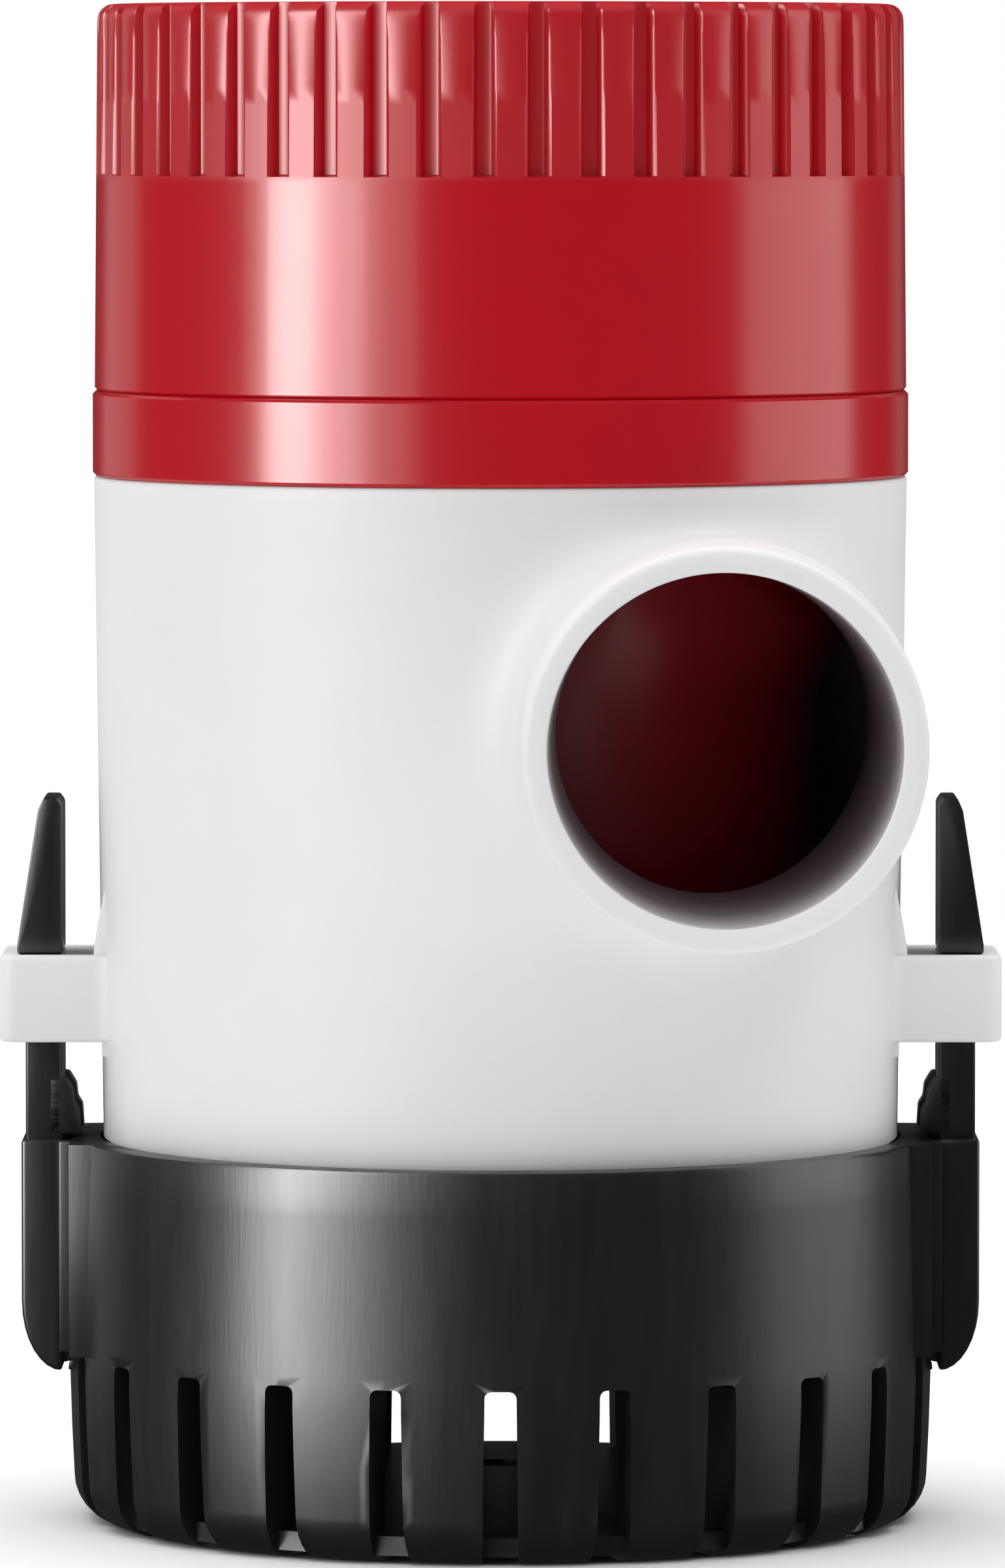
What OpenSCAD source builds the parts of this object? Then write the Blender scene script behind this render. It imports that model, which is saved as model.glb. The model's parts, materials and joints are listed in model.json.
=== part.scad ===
// Submersible bilge pump: a twist-out motor cartridge in a moulded body with a
// tangential hose spout, clipped to a slotted strainer base.
// Millimetres. The origin is the centre of the base's underside, +Z is up and
// the hose spout points along -Y.

/* [Strainer base] */
// Height of the base, from its feet to the top of its rim
base_h = 28.45; // [25:0.05:36]
// Radial wall of the plain rim band at its top
rim_wall = 1.8; // [1.2:0.1:3]
// How much further out the wall stands near the feet than at the rim
base_flare = 0.47; // [0:0.01:1.5]
// Height at which the flare ends
flare_z = 11; // [8:0.5:14]
// Radius of the outer bottom edge
foot_round = 3.3; // [1:0.1:4.5]
// Number of slot positions round the base; two of them are taken by the clips
slot_n = 24; // [12:4:32]
// Width of an intake slot at its top
slot_w = 2.3; // [1.2:0.1:3]
// How much wider a slot is at its bottom
slot_draft = 0.3; // [0:0.05:0.6]
// Height of the slots' upper ends, where the pump body sits
slot_top = 12.75; // [10:0.25:18]
// Radial depth of a slat
slat_depth = 4.4; // [3.5:0.1:7]
// Height of the slats' feet under the floor plate
foot_h = 0.6; // [0.2:0.1:2]
// Radial length of a slat's foot
foot_l = 8; // [6:0.5:12]
// Thickness of the floor plate
floor_t = 1.4; // [1:0.1:3]
// Width of the flat pad behind each clip arm
pad_w = 18.8; // [10:0.2:24]
// Depth of the pad's face inside the wall's widest point
pad_inset = 0.25; // [0.05:0.05:0.4]

/* [Fixing screws] */
// Number of holes for fixing screws
screw_n = 3; // [2:1:6]
// Diameter of the circle through the holes
screw_pcd = 32; // [24:1:36]
// Radius of a screw hole
screw_r = 2.2; // [1.5:0.1:3]
// Width of the boss round a screw hole
screw_boss = 2.6; // [1.5:0.1:4]

/* [Pump body] */
// Outer radius of the body at the rim of the base
body_low_r = 29.45; // [27:0.05:36]
// How much wider the body is at its mouth
body_draft = 0.6; // [0:0.05:1]
// Height of the body above the base's rim
body_h = 48.95; // [42:0.05:62]
// Wall of the body
body_wall = 2; // [1.5:0.1:2.6]
// Thickness of the body's floor
body_floor_t = 2.4; // [1.6:0.1:3]
// Radius of the suction eye
eye_r = 11; // [8:0.5:14]
// Height of the lip round the suction eye
eye_lip_h = 1.5; // [0.5:0.1:3]
// Wall of the lip round the suction eye
eye_lip_t = 1.6; // [1:0.1:3]

/* [Hose spout] */
// Outer radius of the spout, for a hose of twice this inside
spout_r = 14.3; // [10:0.1:17.5]
// Wall of the spout at its tip
spout_wall = 1.82; // [1.4:0.02:3]
// Distance of the spout's tip from the pump's axis
spout_reach = 48; // [42:0.5:62]
// Height of plain body above the spout
spout_margin = 3.5; // [2.5:0.1:8]
// Taper of the bore on each side, in degrees
spout_taper = 1.9; // [0:0.1:2.5]
// Radius of the rounded lip
lip_round = 0.7; // [0.2:0.1:0.8]
// Length of straight spout between the tip and the hose stop
hose_grip = 12; // [8:0.5:14]
// Height of the hose stop, which the spout's root tapers down from
hose_stop_h = 0.12; // [0.05:0.01:0.5]

/* [Belt loops] */
// Height of the loops above the base's rim
loop_rise = 7.25; // [5:0.25:14]
// Height of a loop
loop_h = 6.4; // [4:0.2:9]
// Wall of a loop
loop_wall = 1.7; // [1.2:0.1:3]
// Radius of a loop's outer corners
loop_round = 1.3; // [0.4:0.1:1.4]
// Height of the ribs that brace a loop from above
rib_h = 6.9; // [3:0.1:10]
// How far a rib stands out at the loop
rib_out = 1.1; // [0.4:0.1:2]
// Thickness of a rib
rib_t = 1.1; // [0.6:0.1:2]

/* [Clip arms] */
// Gap between the base's wall and a clip arm
arm_gap = 0.43; // [0.4:0.01:1.2]
// Thickness of a clip arm's stem
stem_t = 2.7; // [2:0.1:4]
// Width of a clip arm's stem
stem_w = 7.6; // [5:0.2:12]
// Play between the stem and the loop it passes through
stem_play = 0.2; // [0.15:0.05:0.4]
// How far the lower part of the arm stands out past the stem
box_step = 0.3; // [0:0.05:1]
// Width of the lower part of the arm
box_w = 9.2; // [8:0.2:14]
// Height of the curve under the lower part
box_curve_h = 5.2; // [3:0.1:8]
// Height of the barbed head above the loop
barb_h = 11.45; // [7:0.05:15]
// How far the barb's shoulder stands out past the stem
barb_out = 0.6; // [0.4:0.05:1]
// Play between the loop's top and the barb's shoulder
barb_play = 0.05; // [0.05:0.05:0.3]
// Radius of the hinge barrel at the foot of the arm
barrel_r = 1.1; // [0.8:0.1:1.4]
// Height of the hinge above the slots' upper ends
hinge_rise = 0.2; // [0:0.1:2]
// Height of the stop bumps behind the arm
bump_h = 4.2; // [2:0.1:6]
// How far the stop bumps stand in from the arm
bump_in = 1.4; // [0.6:0.1:1.6]
// Thickness of a stop bump
bump_t = 1.4; // [0.8:0.1:2]

/* [Cap] */
// Height of the canister's band between the body and the cap
band_h = 6.25; // [4:0.05:10]
// Height of the cap above the band
cap_h = 28.45; // [27:0.05:40]
// Outer radius of the band past the body's mouth
band_out = 0.1; // [0:0.01:0.5]
// How much narrower the cap is at its top
cap_draft = 0.4; // [0:0.02:1]
// Wall of the cap
cap_wall = 2.9; // [2.2:0.1:3.2]
// Thickness of the cap's top
cap_roof_t = 2.5; // [1.5:0.1:4]
// Width and height of the groove at the parting line
parting = 0.25; // [0.1:0.05:0.5]
// Number of grip flutes
flute_n = 48; // [24:4:60]
// Height of the fluted part
flute_h = 12.5; // [6:0.5:18]
// Width of a flute
flute_w = 1.4; // [0.8:0.1:2]
// Depth of a flute
flute_depth = 0.85; // [0.4:0.05:1.2]
// Turn of the first flute from the front, in degrees
flute_phase = -2.3; // [-7:0.1:7]
// Radius of the rounded top edge
cap_round = 0.7; // [0.4:0.1:0.8]
// Radius of the shallow recess in the cap's top
recess_r = 22; // [14:0.5:24]
// Depth of the shallow recess
recess_d = 0.5; // [0.2:0.1:1]

/* [Cable gland] */
// Radius of the hole for the cable
cable_r = 2.5; // [1.5:0.1:3]
// Wall of the rubber grommet
grommet_wall = 1.5; // [1:0.1:2]
// Wall of the boss round the grommet
gland_wall = 1.5; // [1.2:0.1:2.5]
// Length of the boss outside the cap
gland_l = 5.5; // [3:0.5:10]
// Thickness of the grommet's outer flange
grommet_flange = 1.4; // [0.8:0.1:3]
// Height of the gland's axis above the band
gland_rise = 8; // [7:0.25:9]

/* [Cartridge canister] */
// Width of the water passage between the body and the canister
water_gap = 4; // [3:0.1:5]
// Wall of the canister
can_wall = 1.8; // [1.2:0.1:2.4]
// Thickness of the canister's floor
can_floor_t = 2.5; // [2.3:0.1:4]
// Height of the pump chamber under the canister
chamber_h = 13.85; // [12:0.05:18]
// Running gap between the canister's spigot and the body
spigot_gap = 0.3; // [0.15:0.05:0.4]
// Height of the spigot in the body's mouth
spigot_h = 4.5; // [4:0.1:6]
// Radius of the seal ring's section
seal_r = 1; // [0.8:0.05:1.2]
// Running gap between the seal ring and the body
seal_gap = 0.05; // [0.02:0.01:0.1]

/* [Bayonet lock] */
// Number of bayonet lugs
lug_n = 3; // [2:1:4]
// Angle that a lug covers, in degrees
lug_angle = 24; // [12:1:28]
// Angle that a hook in the body covers, in degrees
hook_angle = 26; // [14:1:30]
// Height of a lug
lug_h = 2.5; // [1.5:0.1:3]
// Height of a hook
hook_h = 1.8; // [1.2:0.1:2.5]
// Play between a lug and its hook
lug_play = 0.2; // [0.1:0.05:0.4]
// How far a lug stands out from the canister's neck
lug_out = 1.9; // [1.2:0.1:2.2]

/* [Motor] */
// Gap between the canister and the motor, bridged by ribs
motor_gap = 2.8; // [1.5:0.1:3.5]
// Wall of the motor's steel can
motor_wall = 1.5; // [0.8:0.1:2]
// Room above the motor, under the cap's roof
headroom = 21.1; // [19.5:0.1:26]
// Height of the motor's end bell above its can
bell_h = 4; // [3:0.1:8]
// Depth of the end bell's skirt inside the can
skirt_h = 9.5; // [8:0.1:12]
// Wall of the end bell
bell_wall = 1.5; // [1:0.1:2]
// Thickness of the end bell's top plate
bell_top_t = 2; // [1:0.1:3]
// Radius of the bearing bosses
boss_r = 5.5; // [4.5:0.1:6.5]
// Height of the front bearing boss under the can
front_boss_h = 1.2; // [0.5:0.1:1.6]
// Height of the rear bearing boss on the end bell
rear_boss_h = 3.5; // [2:0.1:4]
// Thickness of the field magnets
magnet_t = 4; // [2.5:0.1:4.5]
// Angle that one magnet covers, in degrees
magnet_angle = 130; // [90:5:160]
// Air gap between the magnets and the armature
air_gap = 0.5; // [0.3:0.05:0.8]
// Outer radius of the bearing bushes
bush_r = 3; // [2.5:0.1:3.5]
// Running gap between a bush and the shaft
bush_gap = 0.03; // [0.01:0.01:0.08]

/* [Armature] */
// Radius of the motor shaft
shaft_r = 1.59; // [1.2:0.01:2]
// Number of armature slots
pole_n = 5; // [3:2:5]
// Radius of the core inside the winding slots
core_hub_r = 5.1; // [4:0.1:6]
// Thickness of the tooth tips
tip_t = 1.4; // [1:0.1:2]
// Width of a winding slot's mouth
mouth_w = 1.6; // [1:0.1:2]
// Radius of the commutator
comm_r = 5; // [4:0.1:6]
// Height of the commutator
comm_h = 9; // [7:0.1:10]
// Height of the winding's end turns
end_turn_h = 4; // [2:0.1:6]
// Running gap between the brushes and the commutator
brush_gap = 0.05; // [0.02:0.01:0.1]
// Length of a brush
brush_l = 3.95; // [2.5:0.05:4.2]
// Width of a brush
brush_w = 4; // [2:0.1:4.4]
// Thickness of the spring strip behind a brush
strip_t = 0.4; // [0.2:0.05:0.8]
// Thickness of a terminal tab
tab_t = 0.8; // [0.5:0.1:1.2]
// Radius of the suppression capacitor
capacitor_r = 4; // [3:0.1:4.4]
// Thickness of the suppression capacitor
capacitor_t = 2.6; // [1.5:0.1:3]

/* [Impeller] */
// Radius of the impeller
impeller_r = 20; // [16:0.5:21]
// Number of vanes
vane_n = 6; // [4:1:8]
// Thickness of a vane
vane_t = 1.6; // [1:0.1:2.4]
// How far a vane is swept back from its root to its tip, in degrees
vane_sweep = 55; // [20:1:70]
// Gap under the vanes and above the shroud
impeller_gap = 0.85; // [0.5:0.05:1.2]
// Thickness of the impeller's shroud
shroud_t = 1.5; // [1:0.1:3]
// Radius of the impeller's hub
hub_r = 4.2; // [3:0.1:5]
// Height of the shaft seal
shaft_seal_h = 2.5; // [2:0.1:3]
// Radius of the shaft seal
shaft_seal_r = 5; // [4:0.1:6]

/* [Hidden] */

ROUND = 96;      // facets drawn on a full circle
ARC = 6;         // steps of a rounded corner in a profile
FAR = 200;       // longer than the pump, for cuts that run right through
EDGE = 0.01;     // how far a cut runs past the face that it opens

// Radii, from the body inwards and outwards
body_top_r = body_low_r + body_draft;
rim_gap = 0.25;
rim_in_r = body_low_r + rim_gap;
rim_out_r = rim_in_r + rim_wall;
base_out_r = rim_out_r + base_flare;
slat_in_r = base_out_r - slat_depth;
floor_edge_r = base_out_r - 0.6 * foot_round;
body_in_low_r = body_low_r - body_wall;
body_in_r = body_top_r - body_wall;
can_out_r = body_in_low_r - water_gap;
can_in_r = can_out_r - can_wall;
motor_r = can_in_r - motor_gap;
motor_in_r = motor_r - motor_wall;
magnet_in_r = motor_in_r - magnet_t;
core_r = magnet_in_r - air_gap;
bell_in_r = motor_in_r - bell_wall;
spigot_r = body_in_r - spigot_gap;
neck_r = spigot_r - lug_out;
band_r = body_top_r + band_out;
cap_foot_r = band_r - 0.15;
cap_top_r = band_r - cap_draft;

// Heights, from the feet upwards
floor_top = foot_h + floor_t;
body_z = slot_top;
body_top = base_h + body_h;
chamber_z = body_z + body_floor_t;
can_z = chamber_z + chamber_h;
can_floor_z = can_z + can_floor_t;
band_top = body_top + band_h;
cap_top = band_top + cap_h;
cap_roof = cap_top - cap_roof_t;
flute_z = cap_top - flute_h;
flute_cut_r = (flute_w * flute_w / 4 + flute_depth * flute_depth) / (2 * flute_depth);
bell_top = cap_roof - headroom;
bell_z = bell_top - bell_h;
front_boss_z = can_floor_z - front_boss_h;
shaft_seal_z = front_boss_z - 0.8 - shaft_seal_h;
bell_roof = bell_top - bell_top_t;
rear_boss_top = bell_top + rear_boss_h;
rear_bush_h = rear_boss_top - 1 - bell_roof;
front_bush_h = 5;
washer_h = 0.8;
washer_gap = 0.1;

// Spout
spout_x = body_top_r - spout_r;
spout_z = body_top - spout_margin - spout_r;
spout_bore_r = spout_r - spout_wall;

// Clip arms and loops, drawn on the +X side
arm_in_x = base_out_r + arm_gap;
hinge_x = arm_in_x - 0.1;
hinge_z = slot_top + hinge_rise;
stem_out_x = arm_in_x + stem_t;
box_out_x = stem_out_x + box_step;
box_z = hinge_z - barrel_r - 0.6;
loop_slot_x = stem_out_x + stem_play;
loop_out_x = loop_slot_x + loop_wall;
loop_slot_w = stem_w + 3 * stem_play;
loop_w = loop_slot_w + 2 * loop_wall + 0.1;
loop_z = base_h + loop_rise;
loop_top = loop_z + loop_h;
barb_z = loop_top + barb_play;
barb_top = barb_z + barb_h;
barb_tip_t = 1.6;
bump_z = base_h + 0.3;

// Armature, commutator and brushes
core_slot_r = (core_r - tip_t - core_hub_r) / 2;
core_slot_at = core_hub_r + core_slot_r;
comm_top = bell_roof - 2.5;
comm_z = comm_top - comm_h;
turns_top = comm_z - 1;
core_top = turns_top - end_turn_h;
turns_z = can_floor_z + front_bush_h;
core_z = turns_z + end_turn_h;
magnet_over = 1.5;
brush_in_x = comm_r + brush_gap;
brush_out_x = comm_r + brush_gap + brush_l;
brush_h = 4;
brush_z = comm_z + comm_h / 2 - brush_h / 2;
strip_out_x = brush_out_x + strip_t;
tab_w = 4;
tab_y = brush_w / 2 + tab_w / 2 + 2.5;
tab_top = bell_top + 6.5;
lead_r = 0.35;
lead_z = bell_top + 4.5;
leg_r = 2;
leg_at = motor_r - 1.4 - leg_r;

// Impeller
impeller_z = chamber_z + impeller_gap;
shroud_top = shaft_seal_z - impeller_gap;
shroud_z = shroud_top - shroud_t;

gland_z = band_top + gland_rise;
grommet_r = cable_r + grommet_wall;
gland_r = grommet_r + gland_wall;
gland_end = cap_foot_r + gland_l;
grommet_in = cap_foot_r - cap_wall - 1;

// Colours
RED = "#b01429";
WHITE = "#e8e8e8";
BLACK = "#2a2a2a";
RUBBER = "#1c1c1c";
STEEL = "#b9bcc0";
BRASS = "#c9a24a";
COPPER = "#b5652e";
CARBON = "#3a3a3d";
FERRITE = "#4a4744";
LAMINATION = "#8a8d90";
IVORY = "#d9d2bd";
CERAMIC = "#c06a2b";
IMPELLER = "#d8d8d4";

// Points of an arc about (x, y), from one angle to another
function arc(x, y, r, from, to) =
    [for (i = [0:ARC]) let (a = from + (to - from) * i / ARC) [x + r * cos(a), y + r * sin(a)]];

// A tube about Z, from height z up to height z + h
module tube(r_out, r_in, z, h) {
    translate([0, 0, z]) difference() {
        cylinder(r = r_out, h = h, $fn = ROUND);
        translate([0, 0, -EDGE]) cylinder(r = r_in, h = h + 2 * EDGE, $fn = ROUND);
    }
}

// A wedge about Z that covers an angle centred on +X, cut from a tube
module sector(r_out, r_in, z, h, angle) {
    reach = 2 * r_out;
    half = angle / 2;
    intersection() {
        tube(r_out, r_in, z, h);
        translate([0, 0, z - 1]) linear_extrude(h + 2) polygon(concat([[0, 0]],
            [for (i = [0:4]) let (a = half * (i - 2) / 2) [reach * cos(a), reach * sin(a)]]));
    }
}

// A solid of revolution about Z from a profile of [radius, height] points
module turned(points) {
    rotate_extrude($fn = ROUND) polygon(points);
}

// A plate in the XZ plane from [x, z] points, centred on the given y
module side_plate(points, y, thickness) {
    translate([0, y + thickness / 2, 0]) rotate([90, 0, 0]) linear_extrude(thickness) polygon(points);
}

// A rod along Y between two depths
module rod_y(r, x, z, y_from, y_to) {
    translate([x, y_from, z]) rotate([-90, 0, 0]) cylinder(r = r, h = y_to - y_from, $fn = ROUND);
}

// ---- Strainer base ----

// Cuts one intake slot on the +X side: above the floor, outside it and between the feet
module intake_slot() {
    low_w = slot_w + slot_draft;
    reach = base_out_r + 2 - (slat_in_r - foot_l);
    translate([slat_in_r - 1, 0, 0]) rotate([90, 0, 90]) linear_extrude(slat_depth + 3)
        polygon([[-slot_w / 2, slot_top], [slot_w / 2, slot_top], [low_w / 2, floor_top], [-low_w / 2, floor_top]]);
    translate([floor_edge_r, -low_w / 2, -1]) cube([base_out_r + 1 - floor_edge_r, low_w, floor_top + 1 + EDGE]);
    translate([slat_in_r - foot_l, -low_w / 2, -1]) cube([reach, low_w, 1 + foot_h]);
}

module hinge_groove() {
    rod_y(barrel_r + bush_gap, hinge_x, hinge_z, -FAR / 2, FAR / 2);
}

module strainer_base() {
    foot_in_r = slat_in_r - foot_l + 4;
    shell = concat(
        [[0, foot_h], [foot_in_r, foot_h], [foot_in_r, 0]],
        arc(base_out_r - 0.3 - foot_round, foot_round, foot_round, -90, 0),
        [[base_out_r, flare_z], [rim_out_r, base_h], [rim_in_r, base_h], [rim_in_r, slot_top],
         [slat_in_r, slot_top], [slat_in_r, floor_top], [0, floor_top]]);
    pad_x = base_out_r - pad_inset;
    cradle_h = 2 * barrel_r + 1.2;
    color(BLACK) difference() {
        union() {
            turned(shell);
            difference() {
                union() for (side = [0, 180]) rotate([0, 0, side]) {
                    translate([slat_in_r + 1, -pad_w / 2, slot_top])
                        cube([pad_x - slat_in_r - 1, pad_w, base_h - slot_top]);
                    translate([slat_in_r + 1, -stem_w / 2, hinge_z - cradle_h / 2])
                        cube([hinge_x - slat_in_r - 1, stem_w, cradle_h]);
                }
                translate([0, 0, slot_top]) cylinder(r = rim_in_r, h = FAR, $fn = ROUND);
            }
            for (i = [0:screw_n - 1]) rotate([0, 0, 90 + 360 * i / screw_n])
                translate([screw_pcd / 2, 0, 0]) cylinder(r = screw_r + screw_boss, h = floor_top, $fn = ROUND);
        }
        for (i = [0:slot_n - 1]) if (i % (slot_n / 2) != 0) rotate([0, 0, 360 * i / slot_n]) intake_slot();
        for (side = [0, 180]) rotate([0, 0, side]) hinge_groove();
        for (i = [0:screw_n - 1]) rotate([0, 0, 90 + 360 * i / screw_n])
            translate([screw_pcd / 2, 0, -1]) cylinder(r = screw_r, h = floor_top + 2, $fn = ROUND);
    }
}

// ---- Clip arms ----

// One clip arm on the +X side; the far side's is its mirror image
module clip_arm() {
    curve = [for (i = [0:ARC]) let (a = 90 * i / ARC)
        [arm_in_x + (box_out_x - arm_in_x) * sin(a), box_z + box_curve_h * (1 - cos(a))]];
    side_plate(concat(curve, [[box_out_x, base_h], [arm_in_x, base_h]]), 0, box_w);
    side_plate([[arm_in_x, base_h - 1], [stem_out_x, base_h - 1], [stem_out_x, barb_z], [arm_in_x, barb_z]], 0, stem_w);
    side_plate([[arm_in_x, barb_z], [stem_out_x + barb_out, barb_z], [stem_out_x + barb_out, barb_z + 0.6],
        [arm_in_x + barb_tip_t + 0.3, barb_top - 0.6], [arm_in_x + barb_tip_t - 0.3, barb_top],
        [arm_in_x + 0.5, barb_top], [arm_in_x, barb_top - 0.8]], 0, stem_w);
    for (side = [-1, 1]) side_plate([[arm_in_x - bump_in, bump_z], [arm_in_x + 1, bump_z],
        [arm_in_x + 1, bump_z + bump_h], [arm_in_x, bump_z + bump_h], [arm_in_x - bump_in, bump_z + bump_h - 1.6]],
        side * (stem_w - bump_t) / 2, bump_t);
    rod_y(barrel_r, hinge_x, hinge_z, -stem_w / 2, stem_w / 2);
}

module clip_arm_right() {
    color(BLACK) clip_arm();
}

module clip_arm_left() {
    color(BLACK) mirror([1, 0, 0]) clip_arm();
}

// ---- Pump body ----

// A loop that a clip arm passes through, with the ribs that brace it
module belt_loop() {
    half = loop_w / 2;
    in_x = body_low_r - body_wall / 2;
    corner_x = loop_out_x - loop_round;
    rib_y = half - rib_t / 2 - 0.3;
    translate([0, 0, loop_z]) linear_extrude(loop_h) difference() {
        polygon(concat([[in_x, -half]], arc(corner_x, loop_round - half, loop_round, -90, 0),
            arc(corner_x, half - loop_round, loop_round, 0, 90), [[in_x, half]]));
        translate([body_low_r - 1, -loop_slot_w / 2]) square([loop_slot_x - body_low_r + 1, loop_slot_w]);
    }
    for (side = [-1, 1]) side_plate([[in_x, loop_top - 1], [body_top_r + rib_out, loop_top - 1],
        [body_top_r + rib_out, loop_top + 0.4], [in_x, loop_top + rib_h]], side * rib_y, rib_t);
}

module spout_outside() {
    lip_y = -spout_reach;
    stop_y = lip_y + hose_grip;
    translate([spout_x, 0, spout_z]) rotate([90, 0, 0]) turned(concat(
        [[0, 0], [spout_r, 0], [spout_r + hose_stop_h, -stop_y], [spout_r, -stop_y]],
        arc(spout_r - lip_round, spout_reach - lip_round, lip_round, 0, 90), [[0, spout_reach]]));
}

module spout_bore() {
    deep_r = spout_bore_r - spout_reach * tan(spout_taper);
    translate([spout_x, 0, spout_z]) rotate([90, 0, 0])
        turned([[0, 0], [deep_r, 0], [spout_bore_r, spout_reach], [spout_bore_r, spout_reach + 1], [0, spout_reach + 1]]);
}

module pump_body() {
    hook_z = body_top - spigot_h - hook_h;
    cavity = [[0, chamber_z], [body_in_low_r, chamber_z], [body_in_r, hook_z - 1], [body_in_r, body_top + 1],
        [0, body_top + 1]];
    color(WHITE) {
        difference() {
            union() {
                turned([[0, body_z], [body_low_r, body_z], [body_low_r, base_h], [body_top_r, body_top], [0, body_top]]);
                tube(eye_r + eye_lip_t, eye_r, body_z - eye_lip_h, eye_lip_h + 1);
                spout_outside();
                belt_loop();
                mirror([1, 0, 0]) belt_loop();
            }
            turned(cavity);
            spout_bore();
            translate([0, 0, body_z - FAR / 2]) cylinder(r = eye_r, h = FAR, $fn = ROUND);
        }
        for (i = [0:lug_n - 1]) rotate([0, 0, 30 + 360 * i / lug_n])
            sector(body_in_r + body_wall / 2, neck_r + 0.2, hook_z, hook_h, hook_angle);
    }
}

// ---- Motor cartridge ----

module top_cap() {
    cavity_r = cap_top_r - cap_wall;
    outside = concat([[0, band_top], [cap_foot_r - parting, band_top], [cap_foot_r, band_top + parting],
        [cap_foot_r - 0.1, flute_z - flute_w]], arc(cap_top_r - cap_round, cap_top - cap_round, cap_round, 0, 90),
        [[recess_r, cap_top], [recess_r, cap_top - recess_d], [0, cap_top - recess_d]]);
    color(RED) difference() {
        union() {
            difference() {
                union() {
                    turned(outside);
                    rod_y(gland_r, 0, gland_z, cavity_r - 0.5, gland_end);
                }
                translate([0, 0, band_top - 1]) cylinder(r = cavity_r, h = cap_roof - band_top + 1, $fn = ROUND);
            }
            for (turn = [0:90:270]) rotate([0, 0, turn])
                translate([leg_at, 0, bell_top]) cylinder(r = leg_r, h = cap_roof - bell_top + 1, $fn = ROUND);
        }
        for (i = [0:flute_n - 1]) rotate([0, 0, -90 + flute_phase + 360 * i / flute_n])
            translate([cap_top_r - flute_depth + flute_cut_r, 0, flute_z])
                cylinder(r = flute_cut_r, h = flute_h + 1, $fn = 32);
        rod_y(grommet_r, 0, gland_z, grommet_in, gland_end + 1);
    }
}

module cable_grommet() {
    color(RUBBER) difference() {
        union() {
            rod_y(grommet_r, 0, gland_z, grommet_in, gland_end);
            rod_y(grommet_r + 0.8, 0, gland_z, gland_end, gland_end + grommet_flange);
        }
        rod_y(cable_r, 0, gland_z, grommet_in - 1, gland_end + grommet_flange + 1);
    }
}

module motor_canister() {
    spigot_z = body_top - spigot_h;
    lug_z = spigot_z - hook_h - lug_play - lug_h;
    seal_z = body_top - spigot_h / 2;
    groove_r = body_in_r - seal_gap - 2 * seal_r;
    groove_h = seal_r + 0.1;
    mouth_r = groove_r - can_wall;
    shoulder_z = lug_z - 2 * (neck_r - can_out_r);
    wall = [
        [0, can_z], [can_out_r, can_z], [can_out_r, shoulder_z], [neck_r, lug_z - 0.2], [neck_r, spigot_z],
        [spigot_r, spigot_z], [spigot_r, seal_z - groove_h], [groove_r, seal_z - groove_h],
        [groove_r, seal_z + groove_h], [spigot_r, seal_z + groove_h], [spigot_r, body_top],
        [band_r - parting, body_top], [band_r, body_top + parting], [band_r, band_top - parting],
        [band_r - parting, band_top], [mouth_r, band_top], [mouth_r, lug_z + 1.5],
        [can_in_r, shoulder_z + 1], [can_in_r, can_floor_z], [0, can_floor_z]];
    color(RED) difference() {
        union() {
            turned(wall);
            translate([0, 0, shaft_seal_z])
                cylinder(r = shaft_seal_r + 2, h = can_floor_z - shaft_seal_z - EDGE, $fn = ROUND);
            for (i = [0:lug_n - 1]) rotate([0, 0, 30 + 360 * i / lug_n])
                sector(spigot_r, neck_r - 1, lug_z, lug_h, lug_angle);
            for (turn = [45:90:315]) rotate([0, 0, turn]) translate([motor_r - 1, -1, can_floor_z - 0.5])
                cube([can_in_r - motor_r + 1.5, 2, shoulder_z - can_floor_z]);
        }
        translate([0, 0, can_floor_z]) cylinder(r = motor_r, h = FAR, $fn = ROUND);
        translate([0, 0, front_boss_z]) cylinder(r = boss_r, h = FAR, $fn = ROUND);
        translate([0, 0, shaft_seal_z - 1]) cylinder(r = shaft_seal_r, h = shaft_seal_h + 1, $fn = ROUND);
        translate([0, 0, shaft_seal_z]) cylinder(r = shaft_r + 0.6, h = FAR, $fn = ROUND);
    }
}

module cap_seal() {
    color(RUBBER) rotate_extrude($fn = ROUND)
        translate([body_in_r - seal_gap - seal_r, body_top - spigot_h / 2]) circle(r = seal_r, $fn = 32);
}

module shaft_seal() {
    lip = shaft_seal_h / 4;
    color(RUBBER) turned([[shaft_seal_r, shaft_seal_z], [shaft_seal_r, shaft_seal_z + shaft_seal_h],
        [shaft_r + bush_gap, shaft_seal_z + shaft_seal_h], [shaft_r + bush_gap, shaft_seal_z + shaft_seal_h - lip],
        [shaft_r + 1.2, shaft_seal_z + shaft_seal_h / 2], [shaft_r + bush_gap, shaft_seal_z + lip],
        [shaft_r + bush_gap, shaft_seal_z]]);
}

// ---- Motor ----

module motor_can() {
    color(STEEL) turned([[bush_r, front_boss_z], [boss_r, front_boss_z], [boss_r, can_floor_z], [motor_r, can_floor_z],
        [motor_r, bell_z], [motor_in_r, bell_z], [motor_in_r, can_floor_z + motor_wall],
        [bush_r, can_floor_z + motor_wall]]);
}

module motor_end_bell() {
    color(IVORY) difference() {
        turned([[bush_r, bell_roof], [bell_in_r, bell_roof], [bell_in_r, bell_z - skirt_h],
            [motor_in_r, bell_z - skirt_h], [motor_in_r, bell_z], [motor_r, bell_z], [motor_r, bell_top],
            [boss_r, bell_top], [boss_r, rear_boss_top], [0, rear_boss_top], [0, rear_boss_top - 1],
            [bush_r, rear_boss_top - 1]]);
        terminal_tabs(FAR);
    }
}

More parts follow.
